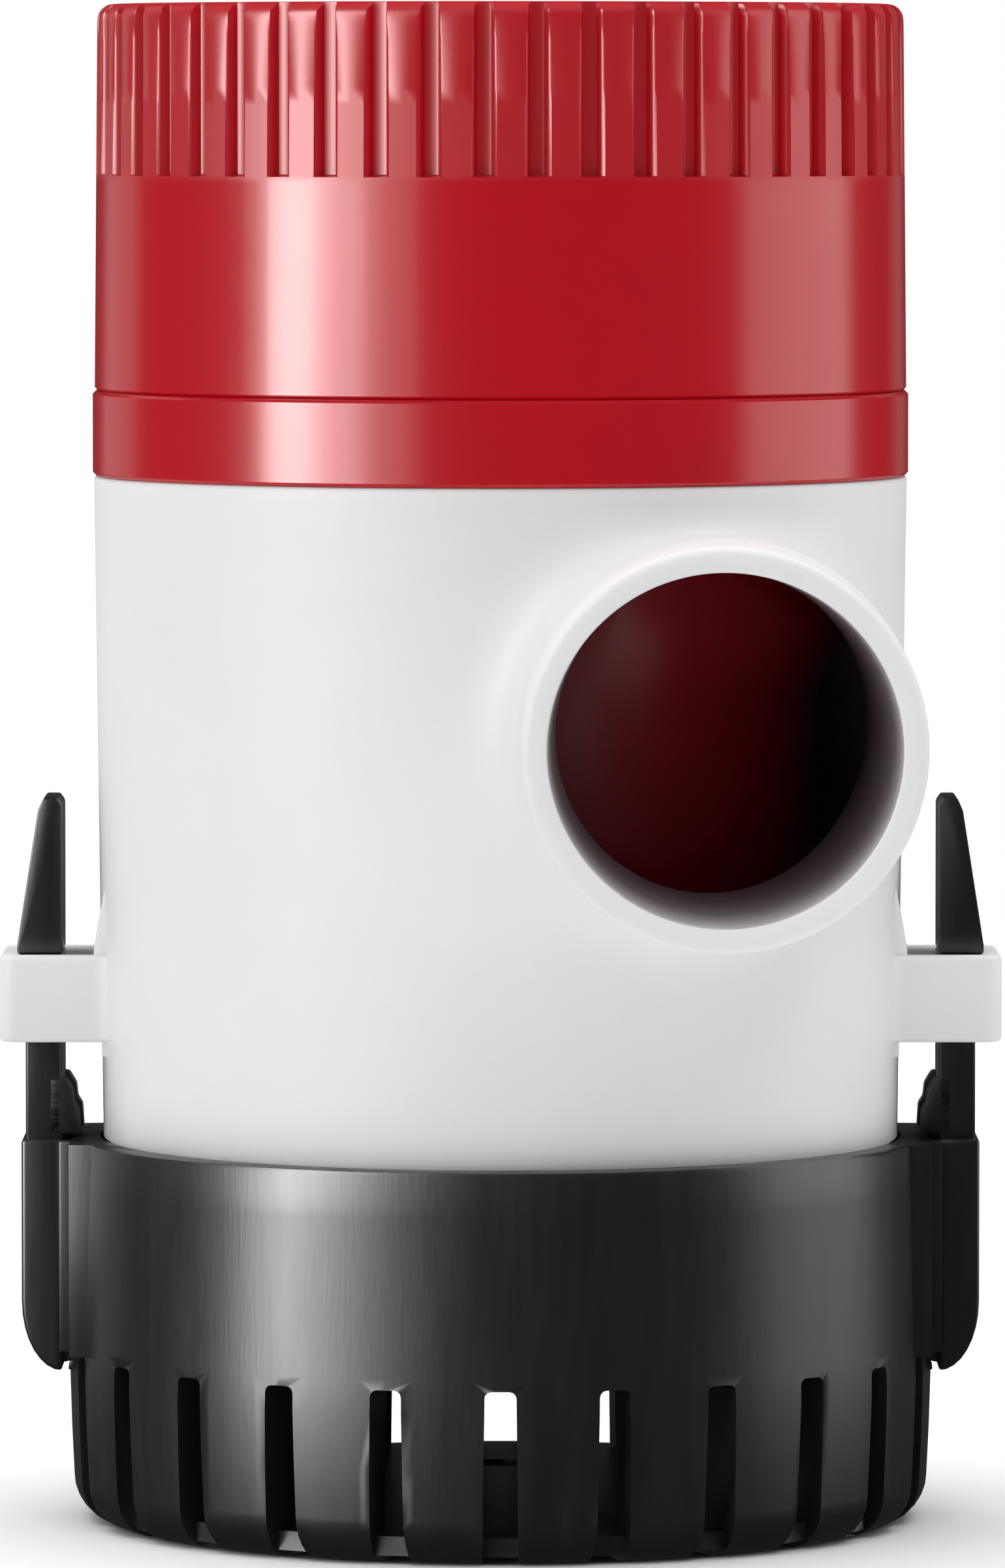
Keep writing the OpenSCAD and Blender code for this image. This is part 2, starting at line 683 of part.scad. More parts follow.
// An arc magnet that covers an angle centred on +X
module field_magnet() {
    sector(motor_in_r, magnet_in_r, core_z - magnet_over, core_top - core_z + 2 * magnet_over, magnet_angle);
}

module magnet_right() {
    color(FERRITE) field_magnet();
}

module magnet_left() {
    color(FERRITE) rotate([0, 0, 180]) field_magnet();
}

module front_bush() {
    color(BRASS) tube(bush_r, shaft_r + bush_gap, front_boss_z, front_bush_h);
}

module rear_bush() {
    color(BRASS) tube(bush_r, shaft_r + bush_gap, bell_roof, rear_bush_h);
}

// A carbon brush on the +X side, hollowed to the commutator
module brush() {
    difference() {
        translate([brush_in_x - 1, -brush_w / 2, brush_z]) cube([brush_l + 1, brush_w, brush_h]);
        cylinder(r = brush_in_x, h = FAR, $fn = ROUND);
    }
}

module brush_right() {
    color(CARBON) brush();
}

module brush_left() {
    color(CARBON) mirror([1, 0, 0]) brush();
}

// The spring strip that presses a brush and carries its current, from the brush to the terminal
module brush_strip() {
    low = -brush_w / 2;
    translate([brush_out_x, low, brush_z + 0.5]) cube([strip_t, tab_y + tab_w / 2 - low, brush_h - 1]);
}

module brush_strip_right() {
    color(COPPER) brush_strip();
}

module brush_strip_left() {
    color(COPPER) mirror([1, 0, 0]) brush_strip();
}

// The two terminal tabs, from the strips up to the given height
module terminal_tabs(top) {
    for (side = [0, 1]) mirror([side, 0, 0])
        translate([strip_out_x, tab_y - tab_w / 2, brush_z]) cube([tab_t, tab_w, top - brush_z]);
}

module motor_terminals() {
    color(BRASS) terminal_tabs(tab_top);
}

module suppression_capacitor() {
    disc_z = lead_z + capacitor_r / 2;
    disc_y = boss_r + 0.3 + capacitor_t / 2;
    color(CERAMIC) {
        rod_y(capacitor_r, 0, disc_z, disc_y - capacitor_t / 2, disc_y + capacitor_t / 2);
        translate([-strip_out_x, disc_y, lead_z]) rotate([0, 90, 0])
            cylinder(r = lead_r, h = 2 * strip_out_x, $fn = 24);
    }
}

// ---- Rotor ----

module motor_shaft() {
    shaft_top = bell_roof + rear_bush_h - 0.5;
    color(STEEL) translate([0, 0, impeller_z + 1]) cylinder(r = shaft_r, h = shaft_top - impeller_z - 1, $fn = ROUND);
}

module winding_slots(r, z, h) {
    for (i = [0:pole_n - 1]) rotate([0, 0, 360 * i / pole_n]) translate([core_slot_at, 0, z])
        cylinder(r = r, h = h, $fn = 48);
}

module armature_core() {
    color(LAMINATION) difference() {
        tube(core_r, shaft_r, core_z, core_top - core_z);
        winding_slots(core_slot_r, core_z - 1, core_top - core_z + 2);
        for (i = [0:pole_n - 1]) rotate([0, 0, 360 * i / pole_n])
            translate([core_slot_at, -mouth_w / 2, core_z - 1]) cube([core_r, mouth_w, core_top - core_z + 2]);
    }
}

module armature_windings() {
    out_r = core_slot_at + core_slot_r + 0.4;
    in_r = core_slot_at - core_slot_r - 0.4;
    round_r = min(end_turn_h, out_r - in_r) / 3;
    color(COPPER) {
        turned(concat([[in_r, core_top], [out_r, core_top]],
            arc(out_r - round_r, turns_top - round_r, round_r, 0, 90), [[in_r, turns_top]]));
        turned(concat([[in_r, turns_z]], arc(out_r - round_r, turns_z + round_r, round_r, -90, 0),
            [[out_r, core_z], [in_r, core_z]]));
        winding_slots(core_slot_r, core_z, core_top - core_z);
    }
}

module commutator() {
    color(COPPER) difference() {
        tube(comm_r, shaft_r, comm_z, comm_h);
        for (i = [0:pole_n - 1]) rotate([0, 0, 360 * (i + 0.5) / pole_n])
            translate([comm_r - 0.8, -0.25, comm_z + 1]) cube([2, 0.5, comm_h]);
    }
}

module thrust_washers() {
    front_z = front_boss_z + front_bush_h + washer_gap;
    color(STEEL) {
        tube(bush_r - 0.2, shaft_r, front_z, washer_h);
        tube(bush_r - 0.2, shaft_r, bell_roof - washer_gap - washer_h, washer_h);
    }
}

// Points down one side of a swept vane, from the hub to the tip
function vane_side(shift) = [for (i = [0:ARC + 2]) let (t = i / (ARC + 2), r = hub_r - 0.4 + (impeller_r - hub_r + 0.4) * t,
    a = -vane_sweep * t * t) [r * cos(a) - shift * sin(a), r * sin(a) + shift * cos(a)]];

module impeller() {
    root = [for (p = vane_side(-vane_t / 2)) p];
    back = [for (p = vane_side(vane_t / 2)) p];
    last = len(back) - 1;
    outline = concat(root, [for (i = [0:last]) back[last - i]]);
    color(IMPELLER) difference() {
        union() {
            translate([0, 0, shroud_z]) cylinder(r = impeller_r, h = shroud_t, $fn = ROUND);
            translate([0, 0, impeller_z + 1]) cylinder(r = hub_r, h = shroud_z - impeller_z, $fn = ROUND);
            for (i = [0:vane_n - 1]) rotate([0, 0, 360 * i / vane_n]) translate([0, 0, impeller_z])
                linear_extrude(shroud_z - impeller_z + EDGE) polygon(outline);
        }
        translate([0, 0, impeller_z - 1]) cylinder(r = shaft_r, h = FAR, $fn = ROUND);
    }
}

strainer_base();
pump_body();
clip_arm_right();
clip_arm_left();
top_cap();
motor_canister();
cap_seal();
cable_grommet();
motor_can();
motor_end_bell();
magnet_right();
magnet_left();
front_bush();
rear_bush();
brush_right();
brush_left();
brush_strip_right();
brush_strip_left();
motor_terminals();
suppression_capacitor();
shaft_seal();
motor_shaft();
armature_core();
armature_windings();
commutator();
thrust_washers();
impeller();
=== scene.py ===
"""A submersible bilge pump: fluted red motor cartridge, white body with a tangential spout, clip-on black strainer.

Lengths in the classes are millimetres, in the frame of the CAD model: +Z up the motor axis and -Y the way the
spout points. Each mesh is turned to metres when its piece is made.
"""
from __future__ import annotations

import json
import logging
import math
from dataclasses import dataclass, field
from enum import Enum
from typing import Any, Callable, Iterable, Optional, Sequence

import bmesh
import bpy
from bmesh.types import BMEdge, BMesh, BMVert
from mathutils import Matrix, Vector


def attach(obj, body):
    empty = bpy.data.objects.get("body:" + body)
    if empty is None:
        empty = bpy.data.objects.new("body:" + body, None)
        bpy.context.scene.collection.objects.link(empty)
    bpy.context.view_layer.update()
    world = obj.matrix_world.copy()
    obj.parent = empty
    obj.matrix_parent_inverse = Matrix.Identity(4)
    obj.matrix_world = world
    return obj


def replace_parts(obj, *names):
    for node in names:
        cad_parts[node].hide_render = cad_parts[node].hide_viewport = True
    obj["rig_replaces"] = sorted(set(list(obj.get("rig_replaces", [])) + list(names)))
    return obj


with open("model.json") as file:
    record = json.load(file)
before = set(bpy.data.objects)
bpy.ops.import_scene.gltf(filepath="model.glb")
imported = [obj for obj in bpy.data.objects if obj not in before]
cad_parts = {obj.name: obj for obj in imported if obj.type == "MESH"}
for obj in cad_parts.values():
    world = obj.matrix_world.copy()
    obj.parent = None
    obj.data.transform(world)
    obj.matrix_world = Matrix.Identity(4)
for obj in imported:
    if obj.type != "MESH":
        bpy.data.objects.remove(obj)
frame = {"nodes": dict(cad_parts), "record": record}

MM = 0.001
Point = tuple[float, float]
log = logging.getLogger("bilge_pump")


def linear(code: str) -> tuple[float, float, float, float]:
    """Turns an sRGB hex value into a linear colour with full alpha."""
    parts = [int(code[i : i + 2], 16) / 255 for i in (1, 3, 5)]
    red, green, blue = (c / 12.92 if c <= 0.04045 else ((c + 0.055) / 1.055) ** 2.4 for c in parts)
    return red, green, blue, 1.0


def add(tree: bpy.types.NodeTree, kind: str, feeds: Optional[dict[Any, Any]] = None, **settings: Any) -> bpy.types.Node:
    """Adds one node.

    Args:
        tree: The node tree it goes in.
        kind: The shader node's type name, without its prefix.
        feeds: What each input takes: a socket to link from, or a value.
        settings: The node's own properties.

    Returns:
        The new node.
    """
    node = tree.nodes.new("ShaderNode" + kind)
    for name, value in settings.items():
        setattr(node, name, value)
    for key, source in (feeds or {}).items():
        if isinstance(source, bpy.types.NodeSocket):
            tree.links.new(source, node.inputs[key])
        else:
            node.inputs[key].default_value = source
    return node


# ---- Finishes ----


class Pattern(Enum):
    """How a finish's surface was made, which decides how its pattern runs."""

    MOULDED = (1.0, 1.0, 1.0)
    DRAWN_UPRIGHT = (1.0, 1.0, 0.12)
    TURNED = (0.15, 0.15, 3.0)
    STACKED = (0.05, 0.05, 6.0)


@dataclass(frozen=True)
class Finish:
    """One real material and the way its surface was made.

    Attributes:
        name: The material's common name and how it was made.
        colour: Its main colour.
        shade: The colour that its patches lean to.
        roughness: Its typical roughness.
        patch_mm: Size of the colour patches.
        grain_mm: Size of the surface grain.
        grain_depth_mm: Depth of the grain.
        pattern: How the pattern runs.
        swing: How far the roughness moves either way over the patches.
        metallic: 1 for a bare metal.
        ior: Index of refraction of a plastic, rubber or ceramic.
        specular: Strength of its plain reflections.
        matt_from_mm: Height above which the surface is spark-textured and duller, if any.
        matt: How much the texture adds to the roughness.
        fade_axis: The axis along which the colour goes over to another, if it does.
        fade_mm: Where on that axis it starts and ends.
        fade_colour: The colour past the end.
    """

    name: str
    colour: str
    shade: str
    roughness: float
    patch_mm: float = 9.0
    grain_mm: float = 0.35
    grain_depth_mm: float = 0.01
    pattern: Pattern = Pattern.MOULDED
    swing: float = 0.04
    metallic: float = 0.0
    ior: float = 1.5
    specular: float = 0.5
    matt_from_mm: Optional[float] = None
    matt: float = 0.0
    fade_axis: str = "Z"
    fade_mm: Optional[tuple[float, float]] = None
    fade_colour: str = "#000000"

    def material(self) -> bpy.types.Material:
        """Returns the finish's node material, made the first time it is asked for."""
        done = bpy.data.materials.get(self.name)
        return done if done else self._build()

    def _build(self) -> bpy.types.Material:
        """Makes the node material."""
        made = bpy.data.materials.new(self.name)
        made.use_nodes = True
        made.diffuse_color = linear(self.colour)
        tree = made.node_tree
        tree.nodes.clear()
        place = add(tree, "TexCoord").outputs["Object"]
        spot = add(tree, "SeparateXYZ", {"Vector": place}).outputs
        drawn = add(tree, "Mapping", {"Vector": place, "Scale": self.pattern.value}).outputs["Vector"]
        patches, grain = (
            add(tree, "TexNoise",
                {"Vector": drawn, "Scale": 1 / (size * MM), "Detail": detail, "Roughness": rough}).outputs["Fac"]
            for size, detail, rough in ((self.patch_mm, 4.0, 0.6), (self.grain_mm, 3.0, 0.5)))
        # The noise keeps mostly to this range, so it is spread out to a full one.
        spread = {"Value": patches, "From Min": 0.3, "From Max": 0.7}
        share = add(tree, "MapRange", spread).outputs["Result"]
        colour = add(tree, "Mix", {0: share, 6: linear(self.colour), 7: linear(self.shade)},
                     data_type="RGBA").outputs[2]
        if self.fade_mm is not None:
            start, end = (mm * MM for mm in self.fade_mm)
            ahead = add(tree, "MapRange",
                        {"Value": spot[self.fade_axis], "From Min": start, "From Max": end}).outputs["Result"]
            colour = add(tree, "Mix", {0: ahead, 6: colour, 7: linear(self.fade_colour)},
                         data_type="RGBA").outputs[2]
        rough = add(tree, "MapRange", {**spread, "To Min": self.roughness - self.swing,
                                                 "To Max": self.roughness + self.swing}).outputs["Result"]
        if self.matt_from_mm is not None:
            start, end = ((self.matt_from_mm + mm) * MM for mm in (-0.3, 0.3))
            texture = add(tree, "MapRange", {"Value": spot["Z"], "From Min": start, "From Max": end,
                                                       "To Max": self.matt}).outputs["Result"]
            rough = add(tree, "Math", {0: rough, 1: texture}, operation="ADD").outputs[0]
        bump = add(tree, "Bump",
                   {"Height": grain, "Strength": 0.5, "Distance": self.grain_depth_mm * MM}).outputs["Normal"]
        feeds = {"Base Color": colour, "Roughness": rough, "Normal": bump, "Metallic": self.metallic,
                 "Specular IOR Level": self.specular}
        if not self.metallic:  # a metal keeps the default index
            feeds["IOR"] = self.ior
        shader = add(tree, "BsdfPrincipled", feeds)
        add(tree, "OutputMaterial", {"Surface": shader.outputs["BSDF"]})
        return made


# Injection-moulded ABS in signal red: a clear gloss below, a dull spark-eroded grip band on the flutes.
RED_ABS = Finish("red ABS, moulded", "#BC081A", "#B60718", 0.22, patch_mm=14, grain_mm=0.5, grain_depth_mm=0.004,
                 swing=0.012, ior=1.53, matt_from_mm=99.4, matt=0.12)
# White ABS: a soft satin that hides its own highlights.
WHITE_ABS = Finish("white ABS, moulded", "#EBEBEC", "#E6E6E8", 0.5, patch_mm=18, grain_mm=0.6, grain_depth_mm=0.004,
                   ior=1.46, specular=0.2)
# Inside the spout and tub the same ABS is painted greyer, darker still deep in the bore and clean only at the mouth:
# painted shade of the dim inside.
SHADED_INSIDE_ABS = Finish("white ABS, stained inside", "#D8D8D9", "#C9C7C8", 0.4, patch_mm=4, grain_mm=0.6,
                     grain_depth_mm=0.004, fade_axis="Y", fade_mm=(-47.8, -38.0), fade_colour="#A09599")
# The canister below its band is painted a deeper red: painted shade, as it sits inside the body.
SHADED_RED_ABS = Finish("red ABS, wet", "#8C0B1C", "#820A1A", 0.22, patch_mm=9, grain_depth_mm=0.004, ior=1.53,
                     fade_axis="Z", fade_mm=(77.4, 74.0), fade_colour="#8C0B1C")
# Black acetal: satin, with faint upright drag marks from the tool.
BLACK_ACETAL = Finish("black acetal, moulded", "#151516", "#1C1C1D", 0.35, patch_mm=1.6, grain_mm=0.3,
                      grain_depth_mm=0.012, pattern=Pattern.DRAWN_UPRIGHT, swing=0.02, ior=1.5,
                      specular=0.75)
# Every record slot's finish, for the pieces and for the CAD solids that stay.
FINISHES: dict[str, Finish] = {
    "red_shell": RED_ABS,
    "white_body": WHITE_ABS,
    "black_base": BLACK_ACETAL,
    # Nitrile rubber has a dusty bloom.
    "seal_rubber": Finish("black nitrile rubber, moulded", "#191919", "#262524", 0.6, patch_mm=3, grain_mm=0.2,
                          grain_depth_mm=0.02),
    # Zinc plate is pale and spangled.
    "zinc_steel": Finish("zinc-plated steel, drawn", "#B9BCC0", "#A5A9AF", 0.32, patch_mm=2, metallic=1.0,
                         pattern=Pattern.DRAWN_UPRIGHT),
    # Ground stainless steel has fine rings round the shaft.
    "ground_steel": Finish("stainless steel, ground", "#C4C6C8", "#B2B4B7", 0.18, patch_mm=0.6, grain_mm=0.2,
                           metallic=1.0, pattern=Pattern.TURNED),
    # Unfilled nylon is waxy, and a little uneven in its tint.
    "ivory_nylon": Finish("ivory nylon, moulded", "#D9D2BD", "#CEC5AC", 0.45, patch_mm=5),
    # Ferrite is a dull, fine-grained grey, like fired clay.
    "ferrite": Finish("ferrite, sintered", "#4A4744", "#3B3937", 0.7, patch_mm=1.2, grain_mm=0.15,
                      grain_depth_mm=0.03),
    # Sintered bronze is speckled by its oil-filled pores.
    "bush_bronze": Finish("bronze, sintered", "#9A7443", "#7F5F36", 0.42, patch_mm=0.8, metallic=1.0),
    # Pressed carbon has a soft pencil-lead sheen.
    "carbon": Finish("carbon, pressed", "#2E2E31", "#3B3B3F", 0.55, patch_mm=0.5),
    # Rolled copper and brass are bright, with tarnish in soft patches.
    "strip_copper": Finish("copper strip, rolled", "#B5652E", "#A35524", 0.3, patch_mm=2, metallic=1.0),
    "tab_brass": Finish("brass tab, stamped", "#C9A24A", "#B68F3B", 0.3, patch_mm=2, metallic=1.0),
    # The disc's lacquer is dipped, so its gloss is uneven.
    "capacitor_ceramic": Finish("lacquered ceramic disc", "#C06A2B", "#AE5A20", 0.35, patch_mm=2),
    # Stacked sheets show as fine level lines, 0.5 mm apart.
    "lamination": Finish("electrical steel, stacked", "#8A8D90", "#6E7174", 0.45, patch_mm=0.5, grain_mm=0.5,
                         grain_depth_mm=0.03, metallic=1.0, pattern=Pattern.STACKED),
    # Enamelled wire is dark and glossy, ridged turn by turn.
    "winding_copper": Finish("enamelled copper wire, wound", "#9C4A22", "#7C3515", 0.32, patch_mm=0.5, grain_mm=0.45,
                             grain_depth_mm=0.08, metallic=1.0, pattern=Pattern.STACKED),
    # Glass fibres make the nylon's face cloudy and dry.
    "impeller_plastic": Finish("glass-filled nylon, moulded", "#D8D8D4", "#C9C9C4", 0.5, patch_mm=1.5, grain_mm=0.3),
}


# ---- Mesh tools ----

# Stands a flat outline up in the XZ plane, so that it is drawn out along Y.
SIDE_ON = Matrix.Rotation(math.pi / 2, 4, "X")
# Lays something turned about Z along +Y, towards the back.
TO_BACK = Matrix.Rotation(-math.pi / 2, 4, "X")


class Side(Enum):
    """Which side of the pump a piece is on, by its sign along X."""

    RIGHT = 1
    LEFT = -1


def arc(centre: Point, radius: float, start: float, end: float, steps: int = 5) -> list[Point]:
    """Points of an arc in a plane, both ends included.

    Args:
        centre: The arc's centre.
        radius: Its radius.
        start: The first point's angle in degrees.
        end: The last point's angle.
        steps: How many lengths the arc is cut into.

    Returns:
        The points in order.
    """
    angles = (math.radians(start + (end - start) * i / steps) for i in range(steps + 1))
    return [(centre[0] + radius * math.cos(a), centre[1] + radius * math.sin(a)) for a in angles]


def outward(bm: BMesh) -> None:
    """Turns every face of a closed mesh outwards."""
    bmesh.ops.recalc_face_normals(bm, faces=bm.faces)
    if bm.calc_volume(signed=True) < 0:
        bmesh.ops.reverse_faces(bm, faces=bm.faces)


def spaced(start: float, end: float, step: float) -> list[float]:
    """Even stations from start to end, no further apart than step."""
    count = max(1, math.ceil(abs(end - start) / step - 1e-6))
    return [start + (end - start) * i / count for i in range(count + 1)]


def lathe(bm: BMesh, profile: Sequence[Point], steps: int, closed: bool = False) -> None:
    """Turns a profile of (radius, height) points about Z.

    Args:
        bm: The mesh it goes in.
        profile: The points in order.
        steps: How many columns a full turn has.
        closed: Whether the last point joins the first.
    """
    verts = [bm.verts.new((r, 0, z)) for r, z in profile]
    pairs = list(zip(verts, verts[1:])) + ([(verts[-1], verts[0])] if closed else [])
    edges = [bm.edges.new(pair) for pair in pairs]
    bmesh.ops.spin(bm, geom=verts + edges, cent=(0, 0, 0), axis=(0, 0, 1), dvec=(0, 0, 0), angle=math.tau,
                   steps=steps, use_merge=True, use_duplicate=False)
    bmesh.ops.remove_doubles(bm, verts=bm.verts, dist=1e-4)


def slab(bm: BMesh, outline: Sequence[Point], low: float, high: float, turn: Matrix,
         soft: float = 0.0, segments: int = 3, corner: float = 40.0) -> None:
    """A flat outline drawn out into a solid, with its corners rounded.

    Args:
        bm: The mesh it goes in.
        outline: The outline's points in the XY plane.
        low: The height that it starts at.
        high: The height that it ends at.
        turn: Where the finished solid goes.
        soft: Radius of the rounded edges.
        segments: How many strips a rounded edge has.
        corner: The turn in degrees past which an edge is rounded.
    """
    part = bmesh.new()
    face = part.faces.new([part.verts.new((x, y, low)) for x, y in outline])
    raised = bmesh.ops.extrude_face_region(part, geom=[face])["geom"]
    bmesh.ops.translate(part, vec=(0, 0, high - low), verts=[v for v in raised if isinstance(v, BMVert)])
    outward(part)
    if soft:
        sharp = [e for e in part.edges if e.calc_face_angle(0) > math.radians(corner)]
        bevelled(part, sharp, soft, segments)
    part.transform(turn)
    outward(part)
    join(bm, part)


def join(bm: BMesh, part: BMesh) -> None:
    """Copies a part's mesh into another mesh, and frees it."""
    held = bpy.data.meshes.new("held")
    part.to_mesh(held)
    part.free()
    bm.from_mesh(held)
    bpy.data.meshes.remove(held)


def bevelled(bm: BMesh, edges: Iterable[BMEdge], offset: float, segments: int = 3) -> None:
    """Rounds some edges by the same amount."""
    bmesh.ops.bevel(bm, geom=list(edges), offset=offset, segments=segments, profile=0.5, affect="EDGES", material=-1,
                    clamp_overlap=True)


def to_side(bm: BMesh, side: Side) -> None:
    """Mirrors a mesh made for the right side, if it is wanted on the left."""
    if side is Side.LEFT:
        bmesh.ops.scale(bm, vec=(-1, 1, 1), verts=bm.verts)
        bmesh.ops.reverse_faces(bm, faces=bm.faces)


def ring_edges(bm: BMesh, ring: list[BMVert]) -> list[BMEdge]:
    """The edges round a closed ring of vertices, in order."""
    return [bm.edges.get(pair) for pair in zip(ring, ring[1:] + ring[:1])]


def new_object(bm: BMesh, name: str, unit: float = MM) -> bpy.types.Object:
    """An object in the scene from a mesh in millimetres, which is freed."""
    bmesh.ops.scale(bm, vec=(unit, unit, unit), verts=bm.verts)
    mesh = bpy.data.meshes.new(name)
    bm.to_mesh(mesh)
    bm.free()
    made = bpy.data.objects.new(name, mesh)
    bpy.context.scene.collection.objects.link(made)
    return made


def applied(piece: bpy.types.Object) -> None:
    """Makes a piece's modifiers part of its mesh."""
    graph = bpy.context.evaluated_depsgraph_get()
    done = bpy.data.meshes.new_from_object(piece.evaluated_get(graph))
    piece.modifiers.clear()
    old = piece.data
    piece.data = done
    bpy.data.meshes.remove(old)


@dataclass
class SubAssembly:
    """A group of pieces that belong together, with what they share."""

    made: list[bpy.types.Object] = field(default_factory=list, init=False)

    def finish_piece(self, piece: bpy.types.Object, slot: str, body: str, nodes: Sequence[str] = (),
                     crease: float = 35.0, inner: Optional[Finish] = None,
                     is_inner: Callable[[Vector], bool] = lambda spot: False) -> None:
        """Args:
            piece: The object, modelled in place.
            slot: The record's material slot it takes its finish from.
            body: The body it rides on.
            nodes: The CAD nodes it stands for.
            crease: The turn in degrees past which an edge stays sharp.
            inner: The finish of the piece's inner faces, if they have their own.
            is_inner: Whether a face is an inner one, by its middle in mm.
        """
        piece.data.materials.clear()
        piece.data.materials.append(FINISHES[slot].material())
        if inner:
            piece.data.materials.append(inner.material())
            for face in piece.data.polygons:
                face.material_index = int(is_inner(face.center / MM))
        piece.data.shade_smooth()
        piece.data.set_sharp_from_angle(angle=math.radians(crease))
        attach(piece, body)
        if nodes:
            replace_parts(piece, *nodes)
        self.made.append(piece)
        log.info("%s: %d faces", piece.name, len(piece.data.polygons))


# ---- Motor cartridge ----


@dataclass
class FlutedCap(SubAssembly):
    """The red top cap: a grip band of flutes above a plain skirt, a dished top and the cable gland."""

    foot_z: float = 83.65
    top_z: float = 112.1
    foot_r: float = 30.0
    top_r: float = 29.75
    wall: float = 2.9
    roof_z: float = 109.6
    top_round: float = 1.15
    foot_gap: float = 0.25
    recess_r: float = 22.0
    recess_d: float = 0.5
    flutes: int = 48
    flute_w: float = 1.5
    flute_d: float = 0.85
    flute_z: float = 99.6
    flute_phase: float = -2.3
    gland_z: float = 91.65
    gland_r: float = 5.5
    gland_bore_r: float = 4.0
    gland_y: float = 35.5

    def build(self) -> None:
        """Makes the cap with its gland boss."""
        bm = bmesh.new()
        lathe(bm, self._profile(), self.flutes * len(self._flute_section()))
        self._cut_flutes(bm)
        outward(bm)
        self._gland(bm)
        self.finish_piece(new_object(bm, "fluted_cap"), "red_shell", "cartridge", ["top_cap"], crease=32)

    def _profile(self) -> list[Point]:
        """Half section from the middle of the top, down the outside and back up the inside."""
        run = self.top_z - self.top_round
        top = [(0.0, self.top_z - self.recess_d), (self.recess_r - 0.25, self.top_z - self.recess_d),
               (self.recess_r, self.top_z - self.recess_d + 0.25), (self.recess_r, self.top_z - 0.15),
               (self.recess_r + 0.15, self.top_z), (self.top_r - self.top_round - 0.9, self.top_z)]
        shoulder = arc((self.top_r - self.top_round, run), self.top_round, 90, 0, 6)
        heights = spaced(run - 0.4, self.flute_z + 0.5, 1.2)
        step = [self.flute_z + 0.12, self.flute_z + 0.04, self.flute_z - 0.06, self.flute_z - 0.2]
        skirt = spaced(self.flute_z - 1.2, self.foot_z + self.foot_gap, 2.5)
        side = [(self._side_r(z), z) for z in heights + step + skirt]
        inner = self.top_r - self.wall
        foot = [(self.foot_r - self.foot_gap, self.foot_z), (self.foot_r - self.foot_gap - 0.6, self.foot_z),
                (inner, self.foot_z), (inner, self.roof_z), (0.0, self.roof_z)]
        return top + shoulder + side + foot

    def _side_r(self, height: float) -> float:
        """Outer radius of the plain wall at a height."""
        return self.foot_r + (self.top_r - self.foot_r) * (height - self.foot_z) / (self.top_z - self.foot_z)

    def _flute_section(self) -> list[tuple[float, float]]:
        """Where the columns of one flute's pitch lie, in mm from its middle, and how deep each is as a share."""
        half, low = self.flute_w / 2, self.flute_w / 2 - 0.24
        side = [(low - 0.18, 1.0), (low, 0.93), (half - 0.06, 0.22), (half + 0.04, 0.05), (half + 0.2, 0.0)]
        mirrored = [(-x, depth) for x, depth in reversed(side)]
        pitch = math.tau * self.top_r / self.flutes
        return mirrored + [(0.0, 1.0)] + side + [(pitch / 2, 0.0)]

    def _cut_flutes(self, bm: BMesh) -> None:
        """Moves the wall's columns to the flutes' section and sinks their floors, which break out at the top.

        Args:
            bm: The turned cap.
        """
        section = self._flute_section()
        count = len(section)
        zero = math.radians(-90 + self.flute_phase)
        for vert in bm.verts:
            radius = math.hypot(vert.co.x, vert.co.y)
            if radius < 0.01:
                continue
            column = round(math.atan2(vert.co.y, vert.co.x) % math.tau / math.tau * self.flutes * count)
            flute, index = divmod(column, count)
            offset, share = section[index]
            angle = zero + math.tau * flute / self.flutes + offset / self.top_r
            if vert.co.z < self.flute_z or radius < self.top_r - self.flute_d - 1.2:
                share = 0.0
            elif vert.co.z < self.flute_z + 0.08:
                share *= 0.9
            radius = min(radius, self.top_r - self.flute_d * share) if share else radius
            vert.co.x, vert.co.y = radius * math.cos(angle), radius * math.sin(angle)

    def _gland(self, bm: BMesh) -> None:
        """Adds the round boss at the back that the cable leaves by.

        Args:
            bm: The cap's mesh.
        """
        part = bmesh.new()
        inner = self.foot_r - 1.6
        lathe(part, [(self.gland_r - 0.2, inner), (self.gland_r, inner + 0.2), (self.gland_r, self.gland_y - 0.5),
                     (self.gland_r - 0.5, self.gland_y), (self.gland_bore_r, self.gland_y),
                     (self.gland_bore_r, inner)], 64, closed=True)
        part.transform(Matrix.Translation((0, 0, self.gland_z)) @ TO_BACK)
        outward(part)
        join(bm, part)


